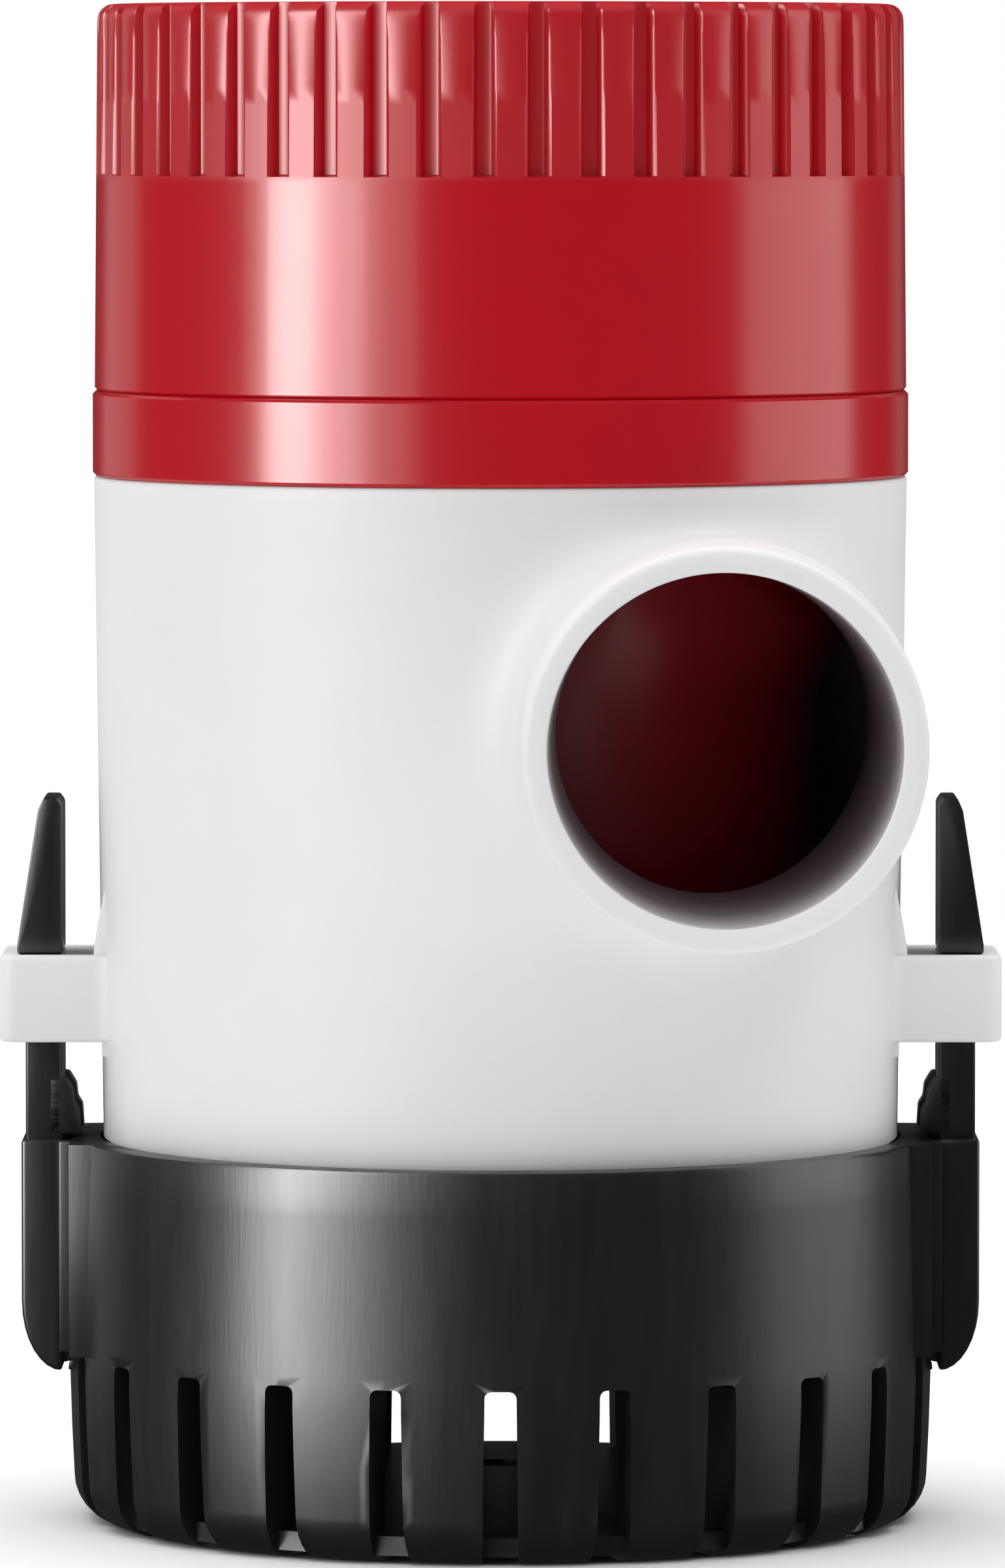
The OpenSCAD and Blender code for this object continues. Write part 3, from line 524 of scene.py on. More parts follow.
@dataclass
class Canister(SubAssembly):
    """The red motor canister: its outer band shows under the cap and its can shows through the spout."""

    can_r: float = 23.45
    can_in_r: float = 21.65
    bottom_z: float = 29.0
    floor_z: float = 31.5
    neck_r: float = 25.85
    neck_z: float = 66.5
    spigot_r: float = 27.75
    spigot_z: float = 72.9
    body_top_z: float = 77.4
    band_r: float = 30.15
    band_z: float = 83.65
    parting: float = 0.25
    shaft_hole_r: float = 4.6
    neck_wall: float = 1.5

    def build(self) -> None:
        """Makes the canister's shell."""
        bm = bmesh.new()
        mouth = self.neck_r - self.neck_wall
        lathe(bm, [
            (self.shaft_hole_r, self.bottom_z), (self.can_r - 0.8, self.bottom_z), (self.can_r, self.bottom_z + 0.8),
            (self.can_r, self.neck_z - 5), (self.neck_r, self.neck_z), (self.neck_r, self.spigot_z),
            (self.spigot_r, self.spigot_z), (self.spigot_r, self.body_top_z),
            (self.band_r - self.parting, self.body_top_z), (self.band_r, self.body_top_z + self.parting),
            *[(self.band_r, z) for z in spaced(self.body_top_z + 1, self.band_z - 1, 1.5)],
            (self.band_r, self.band_z - self.parting), (self.band_r - self.parting, self.band_z),
            (mouth, self.band_z), (mouth, self.neck_z + 1.5),
            (self.can_in_r, self.neck_z - 4), (self.can_in_r, self.floor_z), (self.shaft_hole_r, self.floor_z),
        ], 160, closed=True)
        outward(bm)
        # Its faces below the body's top take the deeper red: painted shade inside the body.
        self.finish_piece(new_object(bm, "canister_shell"), "red_shell", "cartridge", ["motor_canister"],
                          inner=SHADED_RED_ABS, is_inner=lambda spot: spot.z < self.body_top_z)


@dataclass
class CableGrommet(SubAssembly):
    """The rubber grommet in the gland, flanged, with a rounded mouth."""

    bore_r: float = 2.5
    sleeve_r: float = 4.0
    flange_r: float = 4.8
    inner_y: float = 26.1
    face_y: float = 35.5
    tip_y: float = 36.9
    axis_z: float = 91.65

    def build(self) -> None:
        """Makes the grommet."""
        bm = bmesh.new()
        lip = arc((self.flange_r - 0.5, self.tip_y - 0.5), 0.5, 0, 90, 4)
        mouth = arc((self.bore_r + 0.5, self.tip_y - 0.5), 0.5, 90, 180, 4)
        lathe(bm, [(self.sleeve_r, self.inner_y), (self.sleeve_r, self.face_y), (self.flange_r, self.face_y), *lip,
                   *mouth, (self.bore_r, self.inner_y)], 64, closed=True)
        bm.transform(Matrix.Translation((0, 0, self.axis_z)) @ TO_BACK)
        outward(bm)
        self.finish_piece(new_object(bm, "cable_grommet_sleeve"), "seal_rubber", "cartridge", ["cable_grommet"])


# ---- Pump body ----


@dataclass
class PumpBody(SubAssembly):
    """The white body: a slightly tapered tub with the hose spout growing out of its side, and two belt loops."""

    low_r: float = 29.45
    top_r: float = 30.05
    wall: float = 2.0
    bottom_z: float = 12.75
    base_z: float = 28.45
    top_z: float = 77.4
    floor_z: float = 15.15
    eye_r: float = 11.0
    eye_lip_r: float = 12.6
    eye_z: float = 11.25
    rim_round: float = 0.35
    columns: int = 160
    row: float = 1.35
    spout_x: float = 15.75
    spout_z: float = 59.6
    spout_r: float = 14.3
    bore_r: float = 12.48
    taper: float = 1.9
    tip_y: float = -48.0
    lip_round: float = 0.7
    stop_y: float = -36.0
    stop_h: float = 0.12
    fillet: float = 5.0
    hooks: int = 3
    hook_sweep: float = 13.0
    hook_in_r: float = 26.05
    hook_out_r: float = 28.5
    hook_low: float = 71.1
    hook_high: float = 72.9
    mouth_round: float = 0.22
    loop_x: float = 37.0
    loop_low: float = 35.7
    loop_high: float = 42.1
    loop_half: float = 5.85
    loop_corner: float = 1.3
    loop_swell: float = 1.6
    slot_x: float = 35.3
    slot_y: float = 4.1
    rib_x: float = 30.0
    rib_y: float = 5.0
    rib_h: float = 6.9
    ways: list[Point] = field(default_factory=list, init=False)  # the spout's columns, as cosine and sine

    def build(self) -> None:
        """Makes the body and its loops."""
        self._shell()
        for side in Side:
            self._belt_loop(side)

    def outer_r(self, height: float) -> float:
        """Outer radius of the tub at a height."""
        share = max(0.0, height - self.base_z) / (self.top_z - self.base_z)
        return self.low_r + (self.top_r - self.low_r) * share

    def _shell(self) -> None:
        """Makes the tub with its spout."""
        bm = bmesh.new()
        lathe(bm, self._profile(), self.columns, closed=True)
        outer, inner = (self._hole_ring(bm, inset) for inset in (0.0, self.wall))
        tip = self._grow_outside(bm, outer)
        bore = self._grow_bore(bm, tip)
        root = self._grow_inside(bm, inner)
        bmesh.ops.bridge_loops(bm, edges=ring_edges(bm, bore) + ring_edges(bm, root))
        outward(bm)
        for turn in range(self.hooks):
            self._hook(bm, 30 + 360 * turn / self.hooks)
        # The faces inside the tub and bore take the greyer finish: painted shade of the dim inside.
        self.finish_piece(new_object(bm, "pump_body_shell"), "white_body", "housing", ["pump_body"], crease=40,
                          inner=SHADED_INSIDE_ABS, is_inner=self._is_inside)

    def _is_inside(self, spot: Vector) -> bool:
        """Whether a face lies inside the bore or the tub."""
        in_tub = math.hypot(spot.x, spot.y) < self.outer_r(spot.z) - self.wall / 2 and spot.z < self.top_z - 1
        across = math.hypot(spot.x - self.spout_x, spot.z - self.spout_z)
        in_bore = spot.y < 0 and across < self.spout_r - 1.0 and spot.y > self.tip_y + 0.1
        return in_tub or in_bore

    def _profile(self) -> list[Point]:
        """The tub's closed half section, with the same stations on both sides of the wall."""
        heights = [self.floor_z + 5, self.base_z - 3] + spaced(self.base_z, self.top_z - 1.2, self.row)
        rim = self.rim_round
        outside = [(self.low_r, self.bottom_z)] + [(self.outer_r(z), z) for z in heights]
        crown = arc((self.top_r - rim, self.top_z - rim), rim, 0, 90, 3)
        crown += arc((self.top_r - self.wall + rim, self.top_z - rim), rim, 90, 180, 3)
        inside = [(self.outer_r(z) - self.wall, z) for z in reversed(heights)]
        floor = [(self.low_r - self.wall, self.floor_z), (self.eye_r, self.floor_z), (self.eye_r, self.eye_z + 0.3),
                 (self.eye_r + 0.3, self.eye_z), (self.eye_lip_r - 0.3, self.eye_z),
                 (self.eye_lip_r, self.eye_z + 0.3), (self.eye_lip_r, self.bottom_z)]
        return outside + crown + inside + floor

    def _hole_ring(self, bm: BMesh, inset: float) -> list[BMVert]:
        """Opens the wall where the spout leaves it.

        Args:
            bm: The tub's mesh.
            inset: How far the opened side of the wall lies inside the tub.

        Returns:
            The hole's rim in order, anticlockwise as the spout is looked into from its tip.
        """
        reach = self.spout_r + self.fillet
        doomed = []
        for face in bm.faces:
            mid = face.calc_center_median()
            radius = math.hypot(mid.x, mid.y)
            on_wall = abs(radius - (self.outer_r(mid.z) - inset)) < 0.5 and self.base_z < mid.z < self.top_z - 1
            if not on_wall or mid.y > 0:
                continue
            across = mid.x / radius * self.outer_r(mid.z) - self.spout_x
            if math.hypot(across, mid.z - self.spout_z) < reach:
                doomed.append(face)
        rims = {e for f in doomed for e in f.edges if sum(g in doomed for g in e.link_faces) == 1}
        bmesh.ops.delete(bm, geom=doomed, context="FACES")
        rims = {e for e in rims if e.is_valid}
        start = min((v for e in rims for v in e.verts), key=lambda v: (round(v.co.y, 3) < -0.01, v.co.z))
        ring, last = [start], None
        while True:
            here = ring[-1]
            ahead = [e for e in here.link_edges if e in rims and e is not last]
            if len(ring) == 1:  # from the lowest point at the side, the rim goes up first
                ahead.sort(key=lambda e: -e.other_vert(here).co.z)
            last = ahead[0]
            if last.other_vert(here) is start:
                return ring
            ring.append(last.other_vert(here))

    def _angles(self, ring: Sequence[BMVert]) -> list[float]:
        """Evens the rim's angles about the spout's axis out, where the rim steps from cell to cell.

        Args:
            ring: The rim in order.

        Returns:
            Each point's angle in radians.
        """
        angles = [math.atan2(v.co.z - self.spout_z, v.co.x - self.spout_x) for v in ring]
        for i in range(1, len(angles)):
            while angles[i] < angles[i - 1] - math.pi:
                angles[i] += math.tau
        fixed = [v.co.y > -0.01 for v in ring]
        count = len(ring)
        for _ in range(60):
            before = list(angles)
            for i in range(count):
                if not fixed[i]:
                    behind = before[i - 1] if i else before[-1] - math.tau
                    ahead = before[i + 1] if i + 1 < count else before[0] + math.tau
                    angles[i] = (behind + ahead) / 2
        return angles

    def _on_wall(self, x: float, z: float, inset: float) -> Vector:
        """The point of the front wall seen at x and z from the spout's tip."""
        radius = self.outer_r(z) - inset
        x = min(x, radius * 0.99999)
        return Vector((x, -math.sqrt(radius * radius - x * x), z))

    def _room(self, rise: float) -> float:
        """How far the fillet may reach past the spout, by the sine of the angle, before it meets the tub's rim."""
        if rise <= 0:
            return self.fillet
        return min(self.fillet, (self.top_z - 1.0 - self.spout_z) / rise - self.spout_r)

    def _settle_rim(self, ring: Sequence[BMVert], angles: Sequence[float], inset: float) -> list[float]:
        """Puts the rim of a hole on a smooth curve of the wall, and returns each point's distance from the axis."""
        spans = []
        for vert, angle in zip(ring, angles):
            if vert.co.y < -0.01:
                way = (math.cos(angle), math.sin(angle))
                vert.co = self._wall_at(self.spout_r + self._room(way[1]), way, inset)
            spans.append(math.hypot(vert.co.x - self.spout_x, vert.co.z - self.spout_z))
        return spans

    def _extrude(self, bm: BMesh, ring: list[BMVert],
                 spots: Iterable[Vector]) -> list[BMVert]:
        """Draws one new row out of an open rim.

        Args:
            bm: The tub's mesh.
            ring: The open rim in order.
            spots: Where each new point goes, in the same order.

        Returns:
            The new rim in the same order.
        """
        drawn = bmesh.ops.extrude_edge_only(bm, edges=ring_edges(bm, ring))["geom"]
        fresh = {v for v in drawn if isinstance(v, BMVert)}
        row = [next(e.other_vert(v) for e in v.link_edges if e.other_vert(v) in fresh) for v in ring]
        for vert, spot in zip(row, spots):
            vert.co = spot
        return row

    def _around(self, span: float, way: Point, y: float) -> Vector:
        """The point at a distance from the spout's axis, one way from it, at a depth."""
        return Vector((self.spout_x + span * way[0], y, self.spout_z + span * way[1]))

    def _wall_at(self, span: float, way: Point, inset: float) -> Vector:
        """The point of the front wall at a distance from the spout's axis, one way from it."""
        return self._on_wall(self.spout_x + span * way[0], self.spout_z + span * way[1], inset)

    def _root_r(self, y: float) -> float:
        """The spout's outer radius at a depth: it tapers down from the hose stop to the tub."""
        return self.spout_r + (self.stop_h * y / self.stop_y if y > self.stop_y else 0.0)

    def _blend(self, at: Vector) -> float:
        """How far a point lies outside the tub and spout together, with the corner between them filled.

        Args:
            at: The point.

        Returns:
            The distance, negative inside.
        """
        radius = math.hypot(at.x, at.y)
        tub = radius - self.outer_r(at.z)
        across, up = at.x - self.spout_x, at.z - self.spout_z
        span = math.hypot(across, up)
        tube = span - self._root_r(at.y)
        facing = (at.x * across) / (radius * span) if radius and span else 1.0
        # The walls run into each other on the outer side, so the fillet fades out there.
        size = self._room(up / span if span else 0.0) * min(1.0, max(0.0, 1.0 - facing)) * 0.96
        if size < 1e-6:
            return min(tub, tube)
        mix = max(size - abs(tub - tube), 0.0) / size
        return min(tub, tube) - mix * mix * size / 4

    def _settle(self, at: Vector) -> Vector:
        """Moves a point onto the blended surface, straight along its slope.

        Args:
            at: The point.

        Returns:
            The point on the surface.
        """
        step = 0.01
        for _ in range(6):
            gap = self._blend(at)
            slope = Vector([
                (self._blend(at + axis) - self._blend(at - axis)) / (2 * step)
                for axis in (Vector((step, 0, 0)), Vector((0, step, 0)), Vector((0, 0, step)))
            ])
            if abs(gap) < 1e-4 or slope.length_squared < 1e-6:
                break
            at = at - slope * (gap / slope.length_squared)
        return at

    def _grow_outside(self, bm: BMesh, ring: list[BMVert]) -> list[BMVert]:
        """Grows the spout's outside from the tub, round its lip.

        Args:
            bm: The tub's mesh.
            ring: The rim of the hole in the tub's outside.

        Returns:
            The rim on the flat of the lip.
        """
        angles = self._angles(ring)
        spans = self._settle_rim(ring, angles, 0.0)
        self.ways = [(math.cos(a), math.sin(a)) for a in angles]
        rooted = [self._wall_at(self.spout_r, way, 0.0).y for way in self.ways]
        rows = []
        for share in (0.2, 0.4, 0.58, 0.74, 0.88, 1.0):
            spots = [self._wall_at(span + (self.spout_r - span) * share, way, 0.0)
                     for span, way in zip(spans, self.ways)]
            ring = self._extrude(bm, ring, spots)
            rows.append(ring)
        near = self.stop_y + 0.1
        for share in (0.04, 0.09, 0.15, 0.22, 0.3, 0.4, 0.52, 0.66, 0.82, 1.0):
            depths = [y + (near - y) * share for y in rooted]
            ring = self._extrude(bm, ring, [self._around(self._root_r(y), way, y) for y, way in zip(depths, self.ways)])
            rows.append(ring)
        for row in rows[:-1]:
            for vert in row:
                vert.co = self._settle(vert.co.copy())
        for _ in range(3):  # evens the rows out, then puts them back on the surface
            moves = {v: sum((e.other_vert(v).co for e in v.link_edges), Vector()) / len(v.link_edges)
                     for row in rows[:-2] for v in row}
            for vert, spot in moves.items():
                vert.co = self._settle(vert.co.lerp(spot, 0.5))
        for y in (self.stop_y - 0.05, self.tip_y + 6, self.tip_y + self.lip_round):
            ring = self._extrude(bm, ring, [self._around(self._root_r(y), way, y) for way in self.ways])
        lip = (self.spout_r - self.lip_round, -self.tip_y - self.lip_round)
        for radius, ahead in arc(lip, self.lip_round, 0, 90, 4)[1:]:
            ring = self._extrude(bm, ring, [self._around(radius, way, -ahead) for way in self.ways])
        return ring

    def _bore_at(self, y: float) -> float:
        """Radius of the bore at a depth."""
        return self.bore_r - (y - self.tip_y) * math.tan(math.radians(self.taper))

    def _grow_bore(self, bm: BMesh, ring: list[BMVert]) -> list[BMVert]:
        """Grows the bore from the lip back into the tub's wall.

        Args:
            bm: The tub's mesh.
            ring: The rim on the flat of the lip.

        Returns:
            The rim at the bore's inner end.
        """
        edge = self.mouth_round
        for extra, depth in arc((edge, edge), edge, -90, -180, 3):
            y = self.tip_y + depth
            ring = self._extrude(bm, ring, [self._around(self._bore_at(y) + extra, way, y) for way in self.ways])
        start = self.tip_y + edge
        ends = [self._bore_end(way) for way in self.ways]
        for share in (0.1, 0.25, 0.4, 0.55, 0.7, 0.85, 1.0):
            depths = zip((start + (end - start) * share for end in ends), self.ways)
            ring = self._extrude(bm, ring, [self._around(self._bore_at(y), way, y) for y, way in depths])
        return ring

    def _bore_end(self, way: Point) -> float:
        """How deep the bore goes, one way from its axis, before it meets the inside of the tub."""
        y = -14.0  # a first guess, inside the tub
        for _ in range(8):
            y = self._wall_at(self._bore_at(y), way, self.wall).y
        return y

    def _grow_inside(self, bm: BMesh, ring: list[BMVert]) -> list[BMVert]:
        """Draws the inside of the wall up to the bore.

        Args:
            bm: The tub's mesh.
            ring: The rim of the hole in the tub's inside.

        Returns:
            The rim just outside the bore's end.
        """
        angles = self._angles(ring)
        spans = self._settle_rim(ring, angles, self.wall)
        for share in (0.3, 0.6, 0.85, 0.97):
            spots = []
            for start, span, way in zip(angles, spans, self.ways):
                # Each column turns from the hole's rim towards its own column of the bore.
                turn = (math.atan2(way[1], way[0]) - start + math.pi) % math.tau - math.pi
                angle = start + turn * share
                reach = span + (self._bore_at(self._bore_end(way)) - span) * share
                spots.append(self._wall_at(reach, (math.cos(angle), math.sin(angle)), self.wall))
            ring = self._extrude(bm, ring, spots)
        return ring

    def _hook(self, bm: BMesh, angle: float) -> None:
        """Adds one bayonet hook inside the mouth."""
        part = bmesh.new()
        outline = arc((0, 0), self.hook_out_r, -self.hook_sweep, self.hook_sweep, 10)
        outline += arc((0, 0), self.hook_in_r, self.hook_sweep, -self.hook_sweep, 10)
        slab(part, outline, self.hook_low, self.hook_high, Matrix.Rotation(math.radians(angle), 4, "Z"), soft=0.15,
             segments=1)
        join(bm, part)

    def _belt_loop(self, side: Side) -> None:
        """Makes the loop that a clip arm passes through, with its bracing ribs.

        Args:
            side: The side that it is on.
        """
        low, high, half = self.loop_low, self.loop_high, self.loop_half
        swell, corner = self.loop_swell, self.loop_corner
        middle = self.low_r - self.wall / 2  # of the tub's wall, where the loop is rooted
        meet = math.sqrt(self.low_r**2 - (half + swell) ** 2)
        flank = arc((meet + swell - 0.1, -half - swell), swell, 180 - 8, 90, 6)
        bm = bmesh.new()
        root, edge = middle - 3, self.loop_x - corner
        outline = [(root, -half - swell), *flank, *arc((edge, corner - half), corner, -90, 0, 6),
                   *arc((edge, half - corner), corner, 0, 90, 6), *[(x, -y) for x, y in reversed(flank)],
                   (root, half + swell), (root, self.slot_y), (self.slot_x, self.slot_y), (self.slot_x, -self.slot_y),
                   (root, -self.slot_y)]
        slab(bm, outline, low, high, Matrix.Identity(4), soft=0.45, segments=4, corner=50)
        root = middle - 2
        rib = [(root, high - 1), (self.rib_x, high - 1), (self.rib_x, high + 0.4), (middle + 0.4, high + self.rib_h),
               (root, high + self.rib_h)]
        nub = [(root, low + 1), (middle + 0.95, low + 1), (middle + 0.95, low - 1.1), (root, low - 1.6)]
        for rib_y in (-self.rib_y, self.rib_y):
            turn = Matrix.Translation((0, rib_y, 0)) @ SIDE_ON
            slab(bm, rib, -0.55, 0.55, turn, soft=0.2, segments=2)
            slab(bm, nub, -0.5, 0.5, turn, soft=0.2, segments=2)
        to_side(bm, side)
        self.finish_piece(new_object(bm, f"belt_loop_{side.name.lower()}"), "white_body", "housing")


# ---- Strainer ----


@dataclass
class StrainerBase(SubAssembly):
    """The black cup: a plain collar above a ring of slats that curl under into feet."""

    rim_z: float = 28.45
    rim_r: float = 31.5
    rim_in_r: float = 29.7
    out_r: float = 31.97
    flare_z: float = 11.0
    collar_rows: tuple[float, ...] = (13.5, 17.0, 21.0, 25.0, 28.1)
    foot_round: float = 3.3
    slat_in_r: float = 27.57
    floor_z: float = 2.0
    foot_z: float = 0.6
    foot_in_r: float = 23.57
    slot_top: float = 12.75
    slot_w: float = 2.3
    slot_draft: float = 0.3
    slots: int = 24
    floor_edge_r: float = 29.99
    screws: int = 3
    screw_r: float = 2.2
    screw_pcd: float = 32.0
    pad_x: float = 31.72
    pad_half: float = 9.4
    cheek_x: float = 32.6
    cheek_y: float = 5.35
    hinge_x: float = 32.3
    hinge_z: float = 12.95
    groove_r: float = 1.13
    stem_half: float = 3.8
    soft: float = 0.5

    def build(self) -> None:
        """Makes the cup, cuts its slots, and rounds every cut edge."""
        # The cutting is done in millimetres, where the solver's smallest distances are far below the object's.
        cup = new_object(self._cup(), "strainer_cup", 1.0)
        cutter = new_object(self._cutters(), "slot_cutter", 1.0)
        cut = cup.modifiers.new("slots", "BOOLEAN")
        cut.object, cut.operation, cut.solver = cutter, "DIFFERENCE", "EXACT"
        soften = cup.modifiers.new("soft edges", "BEVEL")
        soften.width, soften.segments, soften.limit_method = self.soft, 3, "ANGLE"
        soften.angle_limit = math.radians(38)
        applied(cup)
        cup.data.transform(Matrix.Scale(MM, 4))
        old = cutter.data
        bpy.data.objects.remove(cutter)
        bpy.data.meshes.remove(old)
        self.finish_piece(cup, "black_base", "housing", ["strainer_base"], crease=50)
        self._pads()

    def _cup(self) -> BMesh:
        """The turned cup, with its columns clear of the slots' edges."""
        bm = bmesh.new()
        foot = arc((self.out_r - 0.3 - self.foot_round, self.foot_round), self.foot_round, -90, 0, 7)
        lathe(bm, [
            (0.0, self.foot_z), (self.foot_in_r, self.foot_z), (self.foot_in_r, 0.0), *foot,
            (self.out_r - 0.12, 7.0), (self.out_r, self.flare_z),
            *[(self._collar_r(z), z) for z in self.collar_rows],
            (self.rim_r - 0.1, self.rim_z - 0.08), (self.rim_r - 0.35, self.rim_z),
            (self.rim_in_r, self.rim_z), (self.rim_in_r, self.slot_top + 3.5), (self.slat_in_r, self.slot_top + 1.2),
            (self.slat_in_r, self.floor_z), (0.0, self.floor_z)], 96)
        outward(bm)
        return bm

    def _collar_r(self, height: float) -> float:
        """Outer radius of the plain collar, which narrows evenly from the flare to the rim."""
        share = (height - self.flare_z) / (self.rim_z - self.flare_z)
        return self.out_r + (self.rim_r - self.out_r) * share

    def _cutters(self) -> BMesh:
        """Everything that is cut away: the slots, the gaps between the feet and the screw holes."""
        bm = bmesh.new()
        low = (self.slot_w + self.slot_draft) / 2
        half = self.slot_w / 2
        for i in range(self.slots):
            if i % (self.slots // 2) == 0:  # the clip arms' pads stand here
                continue
            turn = Matrix.Rotation(math.tau * i / self.slots, 4, "Z")
            # Seen along the tangent: down through the slats, past the floor's edge and between the feet.
            outline = [(self.slat_in_r - 1, self.floor_z), (self.slat_in_r - 1, self.slot_top),
                       (self.out_r + 2, self.slot_top), (self.out_r + 2, -1), (self.foot_in_r - 1, -1),
                       (self.foot_in_r - 1, self.foot_z), (self.floor_edge_r, self.foot_z),
                       (self.floor_edge_r, self.floor_z)]
            part = bmesh.new()
            slab(part, outline, -low, low, SIDE_ON)
            for vert in part.verts:
                if vert.co.z > self.slot_top - 0.1:
                    vert.co.y *= half / low
            crown = [e for e in part.edges if all(v.co.z > self.slot_top - 0.1 for v in e.verts)
                     and abs(e.verts[0].co.y - e.verts[1].co.y) < 0.1]
            bevelled(part, crown, 0.5)
            part.transform(turn)
            outward(part)
            join(bm, part)
        for i in range(self.screws):
            angle = math.radians(90 + 360 * i / self.screws)
            spot = (math.cos(angle) * self.screw_pcd / 2, math.sin(angle) * self.screw_pcd / 2, 1)
            bmesh.ops.create_cone(bm, cap_ends=True, segments=48, radius1=self.screw_r, radius2=self.screw_r, depth=6,
                                  matrix=Matrix.Translation(spot))
        return bm

    def _pads(self) -> None:
        """Makes the flats that carry the clip arms, with their hinge cradles."""
        root, top = self.slat_in_r + 2.3, self.rim_z - 0.02
        bend, slant = self.rim_r - 2.2, self.pad_half - 0.2
        for side in Side:
            bm = bmesh.new()
            flat = [(root, -self.pad_half), (bend, -self.pad_half), (self.pad_x, -slant), (self.pad_x, slant),
                    (bend, self.pad_half), (root, self.pad_half)]
            slab(bm, flat, self.slot_top, top, Matrix.Identity(4), soft=0.25, segments=2)
            for middle in (-self.cheek_y, self.cheek_y):
                cheek = [(root, middle - 0.5), (self.cheek_x, middle - 0.5), (self.cheek_x, middle + 0.5),
                         (root, middle + 0.5)]
                slab(bm, cheek, self.slot_top, top, Matrix.Identity(4), soft=0.2, segments=2)
            low, high = self.hinge_z - 1.7, self.hinge_z + 1.7
            cup = [(self.slat_in_r + 2, low), (self.hinge_x - 0.3, low),
                   *arc((self.hinge_x, self.hinge_z), self.groove_r, 250, 110, 8), (self.hinge_x - 0.3, high),
                   (self.slat_in_r + 2, high)]
            slab(bm, cup, -self.stem_half, self.stem_half, SIDE_ON, soft=0.12, segments=2)
            to_side(bm, side)
            self.finish_piece(new_object(bm, f"clip_pad_{side.name.lower()}"), "black_base", "housing")


@dataclass
class ClipArm(SubAssembly):
    """One sprung arm that hooks the strainer to the body's belt loop."""

    in_x: float = 32.4
    stem_x: float = 35.1
    stem_half: float = 3.8
    box_x: float = 35.4
    box_half: float = 4.6
    box_z: float = 11.25
    box_curve: float = 5.2
    rim_z: float = 28.45
    barb_z: float = 42.15
    barb_x: float = 35.7
    tip_z: float = 53.6
    bump_x: float = 31.0
    bump_z: float = 28.75
    bump_h: float = 4.2
    bump_t: float = 1.4
    barrel_r: float = 1.1
    hinge_x: float = 32.3
    hinge_z: float = 12.95

    def build(self) -> None:
        """Makes both arms, the left one as the right one's mirror image."""
        for side in Side:
            bm, name = self._arm(), side.name.lower()
            to_side(bm, side)
            self.finish_piece(new_object(bm, f"clip_lever_{name}"), "black_base", f"clip_{name}", [f"clip_arm_{name}"])

    def _arm(self) -> BMesh:
        """The right arm: box, stem, barb, stop bumps and hinge barrel."""
        bm = bmesh.new()
        quarter = [math.pi / 2 * i / 8 for i in range(9)]
        curve = [(self.in_x + (self.box_x - self.in_x) * math.sin(turn),
                  self.box_z + self.box_curve * (1 - math.cos(turn))) for turn in quarter]
        slab(bm, [*curve, (self.box_x, self.rim_z), (self.in_x, self.rim_z)], -self.box_half, self.box_half, SIDE_ON,
             soft=0.3, segments=3, corner=50)
        slab(bm, [(self.in_x, self.rim_z - 1), (self.stem_x, self.rim_z - 1), (self.stem_x, self.barb_z),
                  (self.in_x, self.barb_z)], -self.stem_half, self.stem_half, SIDE_ON, soft=0.22)
        slab(bm, [(self.in_x, self.barb_z - 0.01), (self.barb_x, self.barb_z - 0.01), (self.barb_x, self.barb_z + 0.6),
                  (self.in_x + 1.75, self.tip_z - 0.9), (self.in_x + 1.35, self.tip_z), (self.in_x + 0.35, self.tip_z),
                  (self.in_x, self.tip_z - 0.5)], -self.stem_half, self.stem_half, SIDE_ON, soft=0.14, segments=2,
             corner=14)
        for way in (-1, 1):
            middle = way * (self.stem_half - self.bump_t / 2)
            high = self.bump_z + self.bump_h
            outline = [(self.bump_x, self.bump_z), (self.in_x + 1, self.bump_z), (self.in_x + 1, high),
                       (self.in_x - 0.3, high), (self.bump_x + 0.55, high - 0.9), (self.bump_x + 0.45, high - 1.9),
                       (self.bump_x + 0.1, high - 2.4)]
            slab(bm, outline, middle - self.bump_t / 2, middle + self.bump_t / 2, SIDE_ON, soft=0.18, segments=2,
                 corner=20)
        barrel = bmesh.new()
        bmesh.ops.create_cone(barrel, cap_ends=True, segments=40, radius1=self.barrel_r, radius2=self.barrel_r,
                              depth=2 * self.stem_half)
        barrel.transform(Matrix.Translation((self.hinge_x, 0, self.hinge_z)) @ SIDE_ON)
        join(bm, barrel)
        return bm


# ---- CAD solids that stay ----


@dataclass
class InnerWorks(SubAssembly):
    """The motor, seals and impeller, which keep their CAD solids and take real finishes."""

    def build(self, replaced: set[str]) -> None:
        """Dresses each CAD node that is still shown.

        Args:
            replaced: The nodes that a piece stands for.
        """
        slots = {part["node"]: part["material_slot"] for part in frame["record"]["subparts"]}
        for name, node in frame["nodes"].items():
            if name in replaced:
                continue
            for held in node.material_slots:
                held.material = FINISHES[slots[name]].material()
            log.info("%s: kept", name)


# ---- Studio ----


